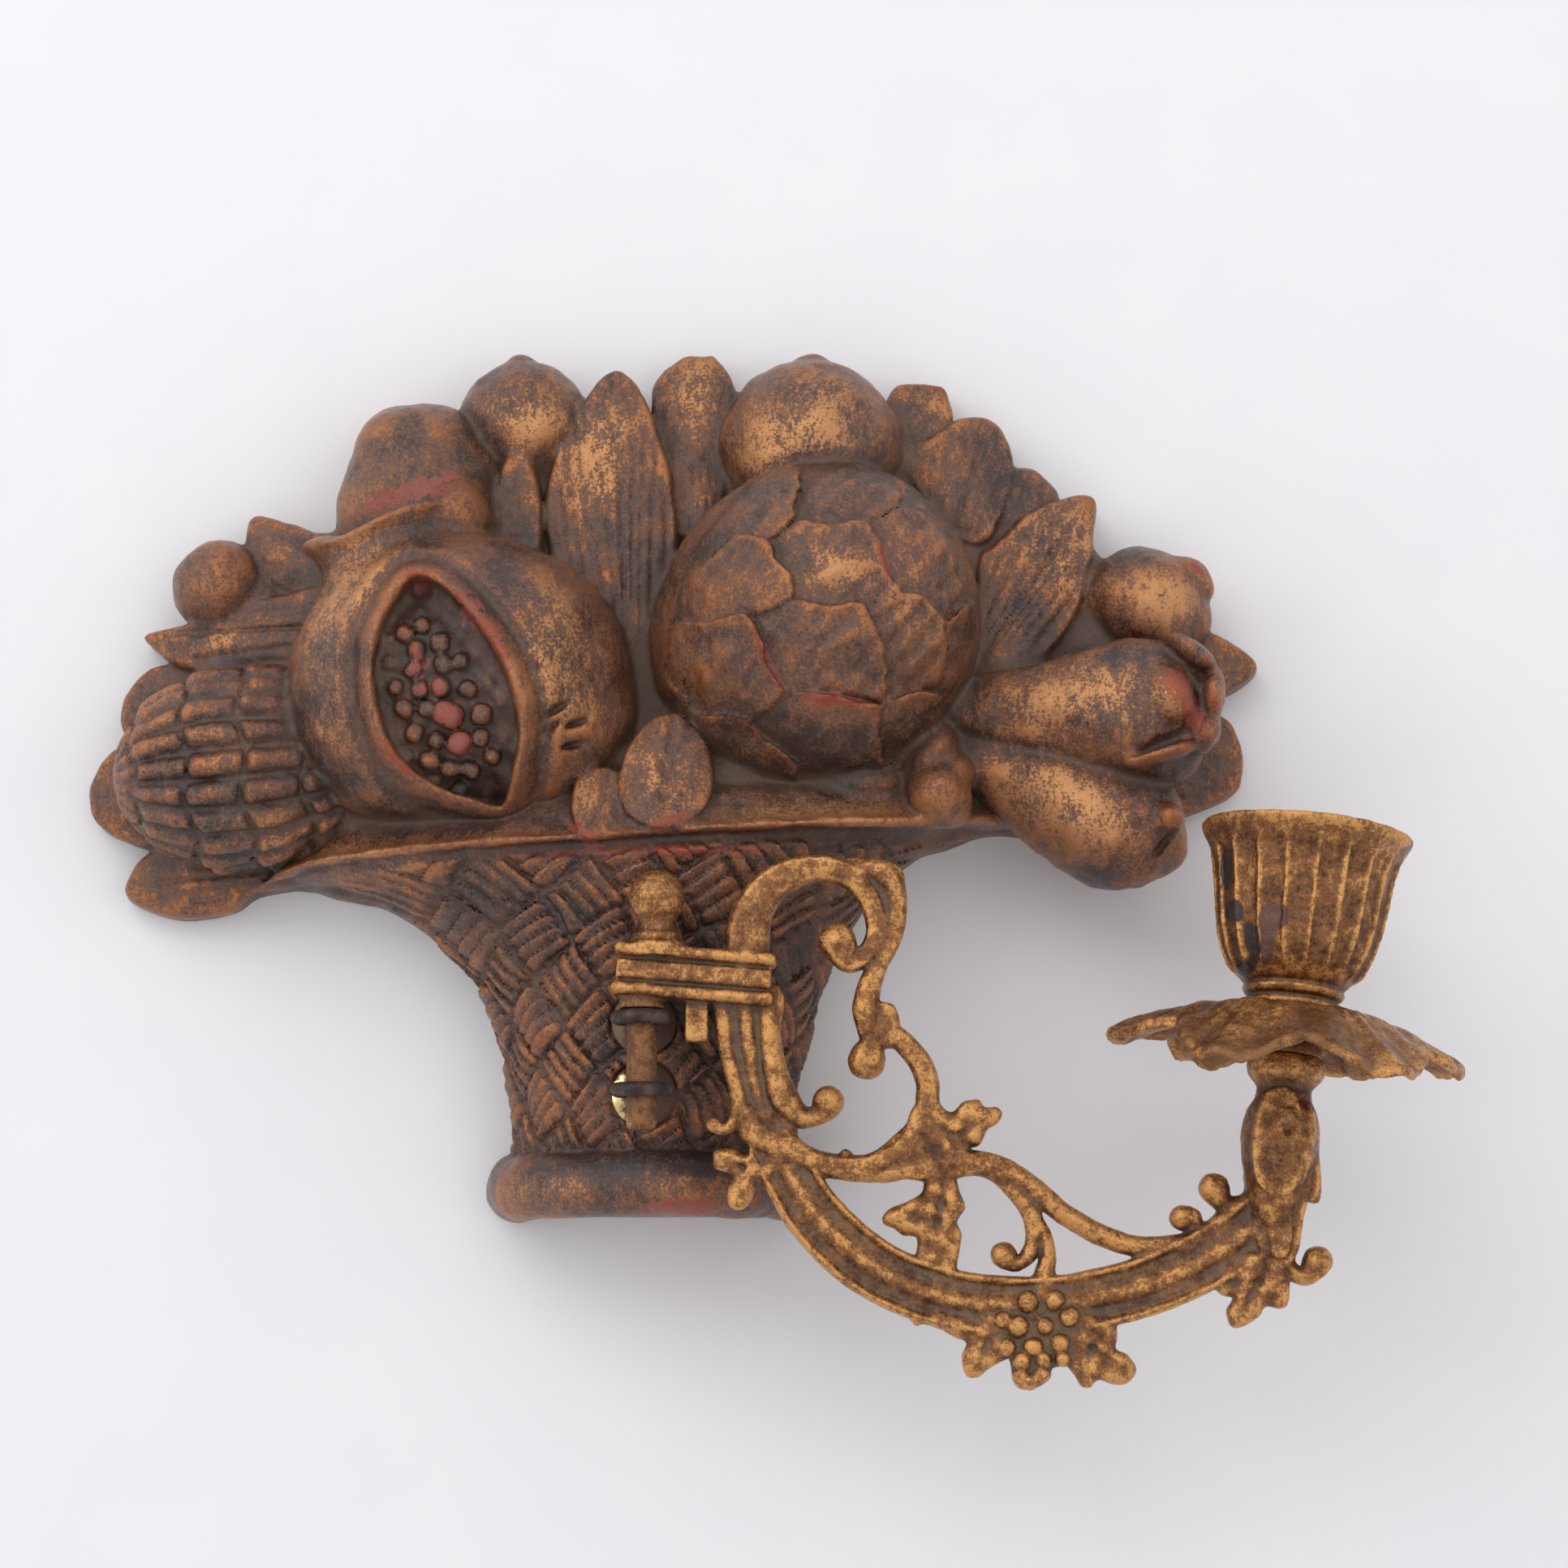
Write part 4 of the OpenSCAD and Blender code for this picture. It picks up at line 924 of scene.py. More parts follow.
# flat pieces of the casting: outline, half thickness
STRAPS = [
    ([(15.4, -98), (28.6, -98), (28.8, -108), (30.4, -116), (33, -121), (31, -127), (24, -131),
      (20, -128), (18.6, -119), (15.8, -108)], 1.6),
    ([(42, -71.4), (48, -71.2), (54, -73), (54.8, -79), (54.4, -86), (51.4, -92), (47.6, -92.5),
      (48, -85), (46.6, -79)], 1.5),
    ([(47.5, -101), (52, -101.4), (53.2, -104.4), (53.4, -109), (49, -110.6), (45, -108),
      (45.2, -103.4)], 2.2),
    ([(20, -125), (27, -123), (31.5, -127), (33, -133), (29, -136.5), (25, -133)], 2.4),
    ([(56, -123), (61, -121.5), (64, -127), (67, -131), (69, -136), (60, -138), (52, -136.6),
      (49, -134), (54, -129)], 2.4),
    ([(104, -151), (110, -149.6), (118, -146.4), (121, -149), (112, -154), (104, -156)], 1.8),
]
RODS = [
    [(22, -124, 2.6), (25, -129, 3.4), (29.7, -131.4, 3.4), (35.7, -134.1, 2.6), (42.8, -135.9, 2.1),
     (50.6, -136.4, 2.0), (57.2, -134.9, 2.0), (65.6, -133.9, 2.7), (73.6, -135.2, 2.8),
     (80.2, -139, 2.6), (86.9, -144.4, 2.4), (94.3, -148.8, 2.4), (101.7, -151.2, 2.4),
     (107.9, -151.2, 2.3), (112.2, -150, 1.9), (114.2, -148, 1.8), (113.6, -145.6, 2.2),
     (111.6, -145.4, 2.9)],
    [(72.4, -135.6, 2.0), (77.2, -139.8, 2.2), (80.4, -144.6, 2.2), (81, -149.5, 2.0),
     (79.8, -153, 1.9), (77.2, -154.9, 1.7), (74.7, -153.1, 2.9)],
    [(80.6, -145, 1.8), (83, -149, 1.8), (83.8, -153, 1.9), (83.1, -157, 2.4), (82.8, -161, 3.2)],
    [(42.3, -132.6, 1.5), (42.3, -134.4, 1.7)],
    [(57.6, -126, 1.9), (52, -130.4, 1.5), (46, -135.6, 1.3)],
    [(127.4, -136.8, 2.2), (126.2, -140.9, 2.3), (123, -143, 2.0), (119.9, -142.1, 2.2),
     (118.2, -139.4, 3.4)],
    [(131.9, -149, 2.4), (132.2, -153.4, 2.2), (134, -156.4, 2.0), (137, -157.2, 2.2),
     (139.2, -154.3, 3.3)],
    [(112, -151.6, 2.0), (118, -147.6, 2.2), (122.6, -143, 2.2)],
]
BAND = [(27.6, -132, 5.2), (31, -137.4, 5.6), (35.6, -144.6, 6.0), (43.5, -152.6, 6.2),
        (51.9, -157.9, 6.2), (61.8, -161.6, 6.2), (71.8, -163.3, 6.2), (83.5, -163.4, 6.1),
        (93.5, -162, 6.1), (105.2, -158.9, 6.2), (117, -153.4, 6.4), (125.6, -148, 6.2),
        (130, -144, 5.6)]
# leaves of the casting: outline, heart, ends of the veins
VINE_LEAVES = [
    ([(57.3, -122.4), (61, -122.1), (64.1, -123.7), (66.6, -121.5), (69.7, -121.1), (71.2, -122.7),
      (73.4, -122.6), (74.7, -124), (73.6, -126.1), (71.5, -127.4), (69.9, -130.5), (67.1, -131.4),
      (66.2, -134.8), (64, -136.3), (61.8, -135.4), (60.9, -132), (58.8, -130.5), (57.2, -126.8)],
     (64, -129), [(59.5, -125), (72.5, -124.5), (64.5, -135)]),
    ([(58.7, -137.9), (61.8, -136.9), (64.9, -137.6), (65.8, -140.3), (66.9, -143.4), (65.2, -146.2),
      (66.1, -148.9), (65.4, -153.2), (64.6, -157), (62.9, -158.4), (60.8, -156.6), (56.9, -154.4),
      (56.8, -149.5), (54.1, -149.2), (52.2, -147.7), (50.1, -146.8), (49.9, -145.2), (51.6, -143.4),
      (55.3, -141.9), (57.8, -140.3)], (61, -146), [(62.5, -139), (52, -146), (61.5, -155)]),
    ([(56.1, -165.4), (56.4, -167.6), (58.9, -166.9), (61.4, -167.9), (64.4, -169.7), (66.9, -170.9),
      (65.9, -173.9), (66.8, -177.6), (69.3, -177.9), (71.1, -176.4), (73.6, -174.9), (75.4, -173.9),
      (77.1, -170.9), (76, -163.4), (69.3, -165.3), (62.6, -164.4)], (71.5, -170.5),
     [(64, -167.5), (68.6, -176)]),
    ([(88.4, -167.3), (91.5, -164.6), (97, -165.6), (97.9, -169.7), (97.6, -172.1), (100, -173.3),
      (101.7, -176.4), (99.9, -179.1), (96.9, -179.4), (93.8, -178.5), (92.3, -180), (90.4, -179.9),
      (89, -177.6), (87, -173.9)], (92.5, -172), [(96, -167.6), (99, -176.4), (91, -178)]),
    ([(117.9, -158.1), (121.2, -154.4), (124.9, -152), (127.9, -151.7), (132, -154.9), (133.3, -158.7),
      (132.9, -163), (131.2, -164.1), (128.4, -163.6), (126.5, -166), (122.8, -167.9), (121, -167.3),
      (120.3, -164.2), (121.7, -161.8), (119.2, -161.2)], (127, -158.6),
     [(120, -159), (122.6, -165.6), (131, -162)]),
    ([(14.8, -133.4), (15.4, -131.6), (18.9, -131.3), (21.3, -132.4), (23.1, -131.8), (26.1, -131.8),
      (28.2, -134.2), (27.3, -137.2), (24.3, -138.1), (22.8, -142), (20.8, -143.8), (18.4, -143.1),
      (17.6, -140.2), (18.7, -136.6), (15.4, -135.4)], (21, -135),
     [(16, -133.2), (26, -134.4), (20.4, -142)]),
]
GRAPE_BACK = [(73, -163.4), (78, -160.2), (86.6, -160.2), (90.3, -163.8), (91.5, -167.9),
              (90.2, -172.7), (87.7, -175.4), (84.6, -176), (84, -178.2), (82.1, -179.6),
              (80.3, -180.4), (77.8, -180.4), (76.3, -178.6), (75.7, -174.2)]
GRAPES = [(79.5, -162.7, 2.3), (84.8, -162.4, 2.2), (87.8, -165.7, 2.3), (77.3, -167.6, 2.4),
          (82.9, -167.6, 2.0), (80.4, -171.8, 2.3), (85.9, -171, 2.2), (74.4, -166.4, 1.9),
          (75.1, -171.8, 1.9), (78.2, -174.6, 2.0), (82.4, -174.4, 1.9), (86.4, -174.2, 1.7),
          (77.9, -177.6, 1.6), (82, -177.4, 1.7), (79.8, -178.9, 1.7)]
# plates of the post (tail, panel, ridge on the tail, side fin): outline, half thickness, fillet
POST_PLATES = [
    ([(125.4, -134), (137.6, -134), (136.2, -146), (135, -152.4), (131.6, -156), (127.4, -153.6),
      (125.6, -145)], 3.4, 0.9),
    ([(128.4, -120), (134.4, -120), (135.4, -130), (134.8, -138.4), (130.4, -141), (126.2, -138.4),
      (125.6, -130)], 8.9, 0.5),
    ([(128.6, -142.6), (133.6, -142.6), (133.2, -152.4), (129.4, -153.2)], 4.5, 0.5),
    ([(137.4, -125), (139.4, -128.8), (140.1, -137.4), (139.6, -142.4), (136, -140.6), (134, -132)],
     2.4, 0.6),
]
POST_TOP = np.array([133.7, ARM_D, -112.5])
LEAN_BACK, LEAN_RIGHT = math.radians(-4), math.radians(6.5)


def post_axes():
    """Columns are the leaning axes of cup, pan and post, in x, d, z."""
    ca, sa = math.cos(LEAN_BACK), math.sin(LEAN_BACK)
    cb, sb = math.cos(LEAN_RIGHT), math.sin(LEAN_RIGHT)
    rx = np.array([[1, 0, 0], [0, ca, -sa], [0, sa, ca]])
    ry = np.array([[cb, 0, sb], [0, 1, 0], [-sb, 0, cb]])
    s = np.diag([1.0, -1.0, 1.0])
    return s @ (ry @ rx) @ s


def stroke(pts, x, z):
    """Distance outside a tapering line, its radius there, and the distance to one side of it."""
    p = smooth_line(pts, 6)
    x, z = np.broadcast_arrays(x[:, 0, :], z[:, 0, :])
    best = np.full(x.shape, 1e9)
    rad = np.ones(x.shape)
    side = np.zeros(x.shape)
    for a, b in zip(p[:-1], p[1:]):
        ex, ez = b[0] - a[0], b[1] - a[1]
        l2 = ex * ex + ez * ez + 1e-9
        t = np.clip(((x - a[0]) * ex + (z - a[1]) * ez) / l2, 0, 1)
        dx, dz = x - a[0] - t * ex, z - a[1] - t * ez
        r = a[2] + (b[2] - a[2]) * t
        m = np.hypot(dx, dz) - r
        near = m < best
        best = np.where(near, m, best)
        rad = np.where(near, r, rad)
        side = np.where(near, (ex * dz - ez * dx) / math.sqrt(l2), side)
    return best[:, None, :], rad[:, None, :], side[:, None, :]


def rod(field, pts, ridges, k, flat=0.9):
    """A round, tapering rod; ridges along it are given as place across and height."""
    p = np.array(pts)
    m = p[:, 2].max() + 2

    def f(x, d, z):
        out, r, side = stroke(pts, x, z)
        e = np.abs(d - ARM_D)
        q = side / r
        lift = sum(h * bell(q - at, 0.2) for at, h in ridges)
        across = np.hypot(out + r, e * flat) - r - lift
        return smax(across, out, 0.6)
    field.add([p[:, 0].min() - m, 42, p[:, 1].min() - m], [p[:, 0].max() + m, 60, p[:, 1].max() + m], f, k)


def strap(field, pts, thick, k=0.8, n=4, rounding=1.3):
    """A flat piece of the casting with rounded edges."""
    line = smooth_line(pts, n, True)
    lo, hi = line.min(0), line.max(0)

    def f(x, d, z):
        return smax(front_outline(line, x, z), np.abs(d - ARM_D) - thick, rounding)
    field.add([lo[0] - 2, 44, lo[1] - 2], [hi[0] + 2, 58, hi[1] + 2], f, k)


def cast_leaf(field, pts, heart, veins, thick=1.7):
    """A leaf of the casting, with veins from its heart to the given ends."""
    p = np.array(pts)
    line = smooth_line(pts, 5, True)

    def f(x, d, z):
        x2, z2 = np.broadcast_arrays(x[:, 0, :], z[:, 0, :])
        m = outline(line, x2, z2)
        t = thick + 1.5 * (1 - np.exp(np.minimum(m, 0) / 1.6))
        for vx, vz in veins:
            ex, ez = vx - heart[0], vz - heart[1]
            s = np.clip(((x2 - heart[0]) * ex + (z2 - heart[1]) * ez) / (ex * ex + ez * ez), 0, 1)
            off = np.hypot(x2 - heart[0] - s * ex, z2 - heart[1] - s * ez)
            t = t - 0.55 * bell(off, 0.7) * (1 - 0.5 * s)
        t = t + 0.4 * np.sin(x2 * 0.95 + z2 * 0.4) * np.sin(z2 * 0.85 - x2 * 0.3)
        return smax(m[:, None, :], np.abs(d - ARM_D) - t[:, None, :], 1.2)
    lo, hi = p.min(0), p.max(0)
    field.add([lo[0] - 3, 46, lo[1] - 3], [hi[0] + 3, 56, hi[1] + 3], f, 0.7)


def cast():
    g = Field([-8, 42.3, -186.5], [144, 60.5, -67.5], 0.36)
    c, s = math.cos(math.radians(4.5)), math.sin(math.radians(4.5))

    # moulded bar: ridge, sunk band, ridge
    def bar(x, d, z):
        u = x * c - (z + 94.4) * s
        b = np.abs(x * s + (z + 94.4) * c)
        ridge = np.sqrt(np.clip(1 - ((b - 4.1) / 1.5) ** 2, 0, 1))
        t = 3.7 + 1.7 * ridge + 0.9 * step(2.3, 1.7, b)
        out = smax(b - 5.5, np.abs(d - ARM_D) - t, 0.4)
        return smax(out, np.abs(u - 10.8) - 16.0 - 0.8 * ridge, 0.7)
    g.add([-8, 42, -106], [32, 60, -84], bar, 0.5)

    def peg(x, d, z):
        r = np.hypot(x, d - ARM_D)
        pin = smax(r - 3.2, -127.4 - z, 1.6)
        collar = np.maximum(r - 4.8, np.abs(z + 99.7) - 2.7)
        return np.maximum(smin(pin, collar, 0.3), z + 96)
    g.add([-6, 45, -129], [6, 57, -95], peg, 0.4)

    finial = turned((3, ARM_D, -91.5), (3, ARM_D, -71.5),
                    [(0, 6.7), (2.4, 6.7), (3.0, 6.2), (3.4, 5.5), (4.6, 5.3), (5.4, 4.5), (7, 4.0),
                     (8.2, 4.2), (9.4, 5.0), (11, 5.6), (13, 5.8), (15, 5.2), (16.8, 3.9), (17.9, 2.0),
                     (18.4, 0.2)])
    g.add([-5, 43, -93], [11, 59, -71], finial, 0.6)

    def stop_lug(x, d, z):
        square = smax(np.abs(x - 11.4) - 2.4, np.abs(d - ARM_D) - 2.5, 0.6)
        return smax(square, np.abs(z + 104.3) - 4.9, 0.6)
    g.add([6, 46, -111], [16, 56, -98], stop_lug, 0.5)

    rod(g, HOOK, ((0.72, 0.45), (-0.72, 0.25)), 0.8, 0.95)
    rod(g, OUTER, ((0.6, 0.2),), 0.8)
    rod(g, LOWER, ((0.55, 0.2), (-0.55, 0.2)), 0.8)
    for pts, thick in STRAPS:
        strap(g, pts, thick)
    for pts in LEGS:
        rod(g, pts, (), 0.5, 0.8)
    for pts in RODS:
        rod(g, pts, ((0.0, 0.15),), 0.7)

    # channelled band
    def band(x, d, z):
        out, r, side = stroke(BAND, x, z)
        q = np.abs(side) / r
        t = 1.5 + 1.5 * bell(q - 0.85, 0.15) + 1.35 * bell(side / r, 0.34) + 0.35 * bell(q - 0.52, 0.09)
        return smax(out, np.abs(d - ARM_D) - t, 0.7)
    g.add([20, 45, -172], [138, 57, -124], band, 0.8)

    for pts, heart, veins in VINE_LEAVES:
        cast_leaf(g, pts, heart, veins)
    cast_leaf(g, GRAPE_BACK, (82, -168), [], 1.5)
    for (x, z, r), side in itertools.product(GRAPES, (2.5, -2.5)):
        at = [x, ARM_D + side, z]
        g.add(*around(at, [r + 2] * 3), ellipsoid(at, [r, r, r]), 0.15)

    # post with raised panel, side ridges and fin
    axis = post_axes()[:, 2]

    def facets(s, ang):
        body = step(5, 9, s) * step(25, 21, s)
        return body * (0.6 * bell(np.abs(np.cos(ang)) - 0.72, 0.12) + 0.15 * np.cos(4 * ang))

    post = turned(POST_TOP - 33 * axis, POST_TOP,
                  [(-4, 1.0), (0, 3.8), (3, 5.0), (7, 6.3), (11, 7.3), (16, 8.0), (19, 7.8), (21.5, 7.2),
                   (24, 5.9), (26.4, 5.6), (27.6, 6.6), (29, 7.8), (30.6, 8.2), (32, 8.1), (33, 7.6)],
                  facets)
    g.add([118, 41, -150], [144, 61, -110], post, 0.6)

    for pts, thick, k in POST_PLATES:
        strap(g, pts, thick, k, 3, 1.2)
    g.cut([129, 57, -131], [136, 61, -122], ellipsoid([132.6, 60.6, -126.6], [1.4, 1.3, 2.4]), 0.6)
    g.v = np.maximum(g.v, GRAPES_LOW - g.ax[2][None, None, :])
    screw = turned(POST_TOP - 14 * axis, POST_TOP + 2 * axis, [(0, 2.0), (16, 2.0)])
    g.cut([128, 46, -128], [139, 56, -108], screw, 0)
    return g


def cast_surface(g, grain, rough_part, place=None):
    """Surface of a cast piece, roughened where rough_part says, then placed; and its wear attributes."""
    verts, quads = surface(g)
    edges = edges_of(quads)
    n = len(verts)
    verts = relax(verts, edges, n, 1, 0.5)
    nrm = vertex_normals(verts, quads)
    wob = swing(verts, 2.6, 4, 2 * grain) + swing(verts, 0.9, 5, grain)
    verts = verts + nrm * (wob * rough_part(verts))[:, None]
    att = {"edge": relax(fullness(g, verts, 0.55), edges, n, 1), "cav": fullness(g, verts, 1.4),
           "deep": fullness(g, verts, 4.0)}
    if place is not None:
        verts = place(verts)
    return verts, quads, att


# dark places on the arm, as spots() takes them: the darker peg, and painted shade in the curls of the
# scrolls, between the legs and under the pan
ARM_DARK_AND_SHADE = [(12, -85, 5, 4, 0, 0.6), (-1, -93, 3, 6, 0, 0.5), (50, -103, 5, 4, 0, 0.4),
            (133, -116, 8, 3, 0, 0.6), (20, -115, 1.5, 8, 0, 0.5), (58, -116, 2, 6, 0, 0.5),
            (66, -150, 4, 4, 0, 0.2), (0, -104, 4.5, 5, 0, 1.8), (0, -112, 4, 8, 0, 1.8),
            (0, -123, 4, 6, 0, 1.8), (3, -78, 5, 5, 0, 0.5), (80, -182, 4, 2, 0, 0.6),
            (138, -155, 4, 4, 0, 1.0), (40, -87, 4, 4, 0, 0.5), (46, -113, 4, 4, 0, 0.5),
            (38, -122, 4, 4, 0, 0.4), (75, -153, 3, 3, 0, 0.5), (24, -78, 3, 5, 40, 0.4),
            (58, -124, 4, 5, 0, 0.4), (100, -176, 5, 5, 0, 0.4), (129, -163, 5, 4, 0, 0.4)]


def arm_piece():
    def off_peg(v):
        return step(4.4, 6, np.hypot(v[:, 0], v[:, 1] - ARM_D))
    verts, quads, att = cast_surface(cast(), 0.11, off_peg)
    att["dark"] = spots(verts, ARM_DARK_AND_SHADE)
    return make_object("cast_arm", verts, quads, att)


# ---- drip pan and cup, in the post's own leaning frame ----

CUP_HIGH = 9.8          # the cup stands this far above the top of the post


def to_world(verts, high):
    """From the leaning frame, high above the top of the post, to x, d, z."""
    p = verts.copy()
    p[:, 2] += high
    return POST_TOP + p @ post_axes().T


def pan_piece():
    g = Field([-39.5, -39.5, -11.5], [39.5, 39.5, 12], 0.42)

    def sheet(x, d, z):
        r = np.hypot(x, d)
        a = np.arctan2(d, x)
        near = 0.5 + 0.5 * np.cos(6 * a)
        rim = 30.0 + 7.5 * near ** 0.6 - 1.0 * (0.5 - 0.5 * np.cos(18 * a + 0.5)) - 0.5 * np.sin(5 * a + 1)
        rim = rim - 4.5 * np.maximum(-np.sin(a), 0) ** 1.5
        w = np.interp(r, [0, 10, 14, 20, 27, 34, 40], [8.9, 8.9, 8.6, 7.4, 5.2, 2.4, -0.6])
        out = step(18, 37, r)
        front = np.maximum(np.sin(a), 0) ** 1.2
        rear = np.maximum(-np.sin(a), 0) ** 1.2
        w = w - out * (0.4 + 7.4 * front * (0.88 + 0.12 * near) + 0.9 * rear * (1 - np.cos(a)))
        w = w + 0.75 * np.cos(18 * a + 0.5) * step(14, 34, r)
        w = w + 0.5 * np.sin(x * 0.45 + 1) * np.sin(d * 0.5) * step(13, 20, r)
        side = r * np.sin((a * 3 / math.pi - np.round(a * 3 / math.pi)) * math.pi / 3)
        vein = 0.55 * bell(side, 0.9) + 0.4 * bell(np.abs(side) - (r - 14) * 0.32, 0.8) * step(16, 20, r)
        w = w + vein * step(11, 15, r) * step(38, 34, r)
        t = 0.95 + 0.25 * bell(rim - r, 1.3)
        return smax(np.abs(z - w) * 0.85 - t, (r - rim) * 0.8, 1.1)
    g.add([-40, -40, -12], [40, 40, 12], sheet, 0)

    def hub(x, d, z):
        r = np.hypot(x, d)
        neck = smax(r - 7, np.abs(z - 4.9) - 4.85, 0.4)
        return smin(neck, smax(r - 10, np.abs(z - 8.9) - 0.85, 0.3), 1.5)
    g.add([-12, -12, -2], [12, 12, 12], hub, 1.0)
    g.cut([-10.6, -10.6, 9.7], [10.6, 10.6, 13],
          lambda x, d, z: np.maximum(np.hypot(x, d) - 10.2, 9.78 - z), 0)
    g.cut([-4, -4, -12], [4, 4, 12], lambda x, d, z: np.hypot(x, d) - 2.15 + 0 * z, 0)

    def off_hub(v):
        return step(10, 13, np.hypot(v[:, 0], v[:, 1]))
    verts, quads, att = cast_surface(g, 0.16, off_hub, lambda v: to_world(v, 0))
    att["dark"] = spots(verts, [(105, -112, 8, 4, 0, 0.5), (160, -115, 5, 4, 0, 0.4),
                                (137, -110, 6, 3, 0, 0.5), (135, -110, 40, 12, 0, 0.9)])
    return make_object("leaf_pan", verts, quads, att)


# chipped and worn places on the cup
CUP_DARK = [(121.3, -73.5, 1.1, 4.4, 0, 1.6), (122.4, -82.6, 1.6, 2.4, 0, 1.5),
            (125.8, -88.8, 1.4, 4.0, 12, 1.6), (124.4, -94.4, 2.0, 1.4, 0, 1.6)]
CUP_BARE = [(130.2, -84.4, 3.2, 2.6, 0, 1.5), (128.6, -90, 1.5, 4.6, 0, 1.3),
            (136, -69, 3, 1.2, 0, 0.6), (143, -74, 3, 1.6, 0, 0.6)]
# outside and inside of the cup: height, radius
CUP_OUT = [(-2, 9), (0, 9), (1.2, 9.4), (1.8, 9.2), (2.4, 8.9), (3, 10.2), (4, 10.7), (5, 10.3),
           (5.6, 10.9), (6.8, 12.1), (9, 14.0), (12.2, 15.5), (15.5, 16.4), (20, 17.2), (25, 17.8),
           (29, 18.4), (32, 19.3), (34.8, 20.7), (36.8, 21.9), (37.7, 22.2), (38.6, 21.9)]
CUP_IN = [(7.2, 11.2), (21.2, 11.2), (24.5, 15), (30, 16.2), (34.5, 17.8), (36.6, 19.2), (38.4, 20.6),
          (41, 22)]


def cup_piece():
    g = Field([-23, -23, -1], [23, 23, 39.6], 0.33)

    def bowl(x, d, z):
        r = np.hypot(x, d)
        a = np.arctan2(d, x) + 0.06
        n = a / (2 * math.pi) * 19 + 0.15
        f = np.abs((n - np.floor(n)) - 0.5) * 2
        fade = step(6.3, 8.0, z) * step(34.6, 30.5, z)
        reed = 0.60 * bell(f - 1, 0.17) - 0.40 * (1 - f * f) + 0.15
        ro = profile(z, CUP_OUT) + reed * fade + 0.12 * np.sin(a * 5 + 1)
        shell = smax((r - ro) * 0.93, np.abs(z - 19.1) - 19.1, 0.9)
        hollow = np.maximum((r - profile(z, CUP_IN)) * 0.95, 7.2 - z)
        screw = np.minimum(np.maximum(r - 4.2, 4.4 - z), r - 2.15)
        return smax(smax(shell, -hollow, 0.7), -screw, 0)
    g.add([-24, -24, -2], [24, 24, 40], bowl, 0)

    def off_seats(v):
        r = np.hypot(v[:, 0], v[:, 1])
        return step(11.9, 12.6, r) * step(0.2, 1.0, v[:, 2])
    verts, quads, att = cast_surface(g, 0.13, off_seats, lambda v: to_world(v, CUP_HIGH))
    front = step(48, 54, verts[:, 1])
    # the whole cup is kept lighter than the rest of the bronze paint, as painted light
    att["dark"] = np.full(len(verts), -0.5)
    att["black"] = front * spots(verts, CUP_DARK)
    att["bare"] = front * spots(verts, CUP_BARE)
    return make_object("fluted_cup", verts, quads, att)


# ---- materials ----

class Nodes:
    """A short way to write shader nodes."""

    def __init__(self, name):
        self.mat = bpy.data.materials.new(name)
        self.mat.use_nodes = True
        self.tree = self.mat.node_tree
        self.tree.nodes.clear()
        self.out = self.tree.nodes.new("ShaderNodeOutputMaterial")

    def new(self, kind, **sets):
        node = self.tree.nodes.new(kind)
        for key, val in sets.items():
            setattr(node, key, val)
        return node

    def link(self, val, socket):
        """Joins a socket to another one, or sets it to a number, a vector or a colour."""
        if isinstance(val, bpy.types.NodeSocket):
            self.tree.links.new(val, socket)
        else:
            socket.default_value = (*val, 1) if socket.type == "RGBA" else val

    def math(self, op, a, b, clamp=False):
        node = self.new("ShaderNodeMath", operation=op, use_clamp=clamp)
        self.link(a, node.inputs[0])
        self.link(b, node.inputs[1])
        return node.outputs[0]

    def add(self, first, *others):
        for val in others:
            first = self.math("ADD", first, val)
        return first

    def mul(self, a, b):
        return self.math("MULTIPLY", a, b)

    def vary(self, tex, high):
        """A texture that swings between about -high / 2 and high / 2."""
        return self.mul(self.math("SUBTRACT", tex, 0.5), high)

    def ramp(self, x, lo, hi, a=0.0, b=1.0):
        node = self.new("ShaderNodeMapRange", interpolation_type="SMOOTHSTEP")
        self.link(x, node.inputs["Value"])
        for key, val in (("From Min", lo), ("From Max", hi), ("To Min", a), ("To Max", b)):
            node.inputs[key].default_value = val
        return node.outputs[0]

    def mix(self, t, a, b):
        node = self.new("ShaderNodeMix", data_type="RGBA")
        self.link(t, node.inputs["Factor"])
        self.link(a, node.inputs["A"])
        self.link(b, node.inputs["B"])
        return [o for o in node.outputs if o.type == "RGBA"][0]

    def attr(self, name):
        return self.new("ShaderNodeAttribute", attribute_name=name).outputs["Fac"]

    def coords(self, scale=(1, 1, 1), turn=(0, 0, 0)):
        tex = self.new("ShaderNodeTexCoord")
        node = self.new("ShaderNodeMapping")
        self.link(tex.outputs["Object"], node.inputs["Vector"])
        node.inputs["Scale"].default_value = scale
        node.inputs["Rotation"].default_value = turn
        return node.outputs[0]

    def noise(self, scale, detail, rough, vec=None):
        node = self.new("ShaderNodeTexNoise")
        self.link(vec if vec is not None else self.coords(), node.inputs["Vector"])
        for key, val in (("Scale", scale), ("Detail", detail), ("Roughness", rough)):
            node.inputs[key].default_value = val
        return node.outputs["Fac"]

    def bump(self, height, strength, distance):
        node = self.new("ShaderNodeBump")
        node.inputs["Strength"].default_value = strength
        node.inputs["Distance"].default_value = distance
        self.link(height, node.inputs["Height"])
        return node.outputs[0]

    def shader(self, color, rough, metal, normal, **const):
        b = self.new("ShaderNodeBsdfPrincipled")
        for key, val in (("Base Color", color), ("Roughness", rough), ("Metallic", metal),
                         ("Normal", normal)):
            self.link(val, b.inputs[key])
        for key, val in const.items():
            b.inputs[key.replace("_", " ")].default_value = val
        self.tree.links.new(b.outputs[0], self.out.inputs["Surface"])
        return self.mat


def lin(r, g, b):
    """Linear colour from an 8-bit screen colour."""
    return tuple((c / 255 / 12.92) if c <= 10 else ((c / 255 + 0.055) / 1.055) ** 2.4 for c in (r, g, b))


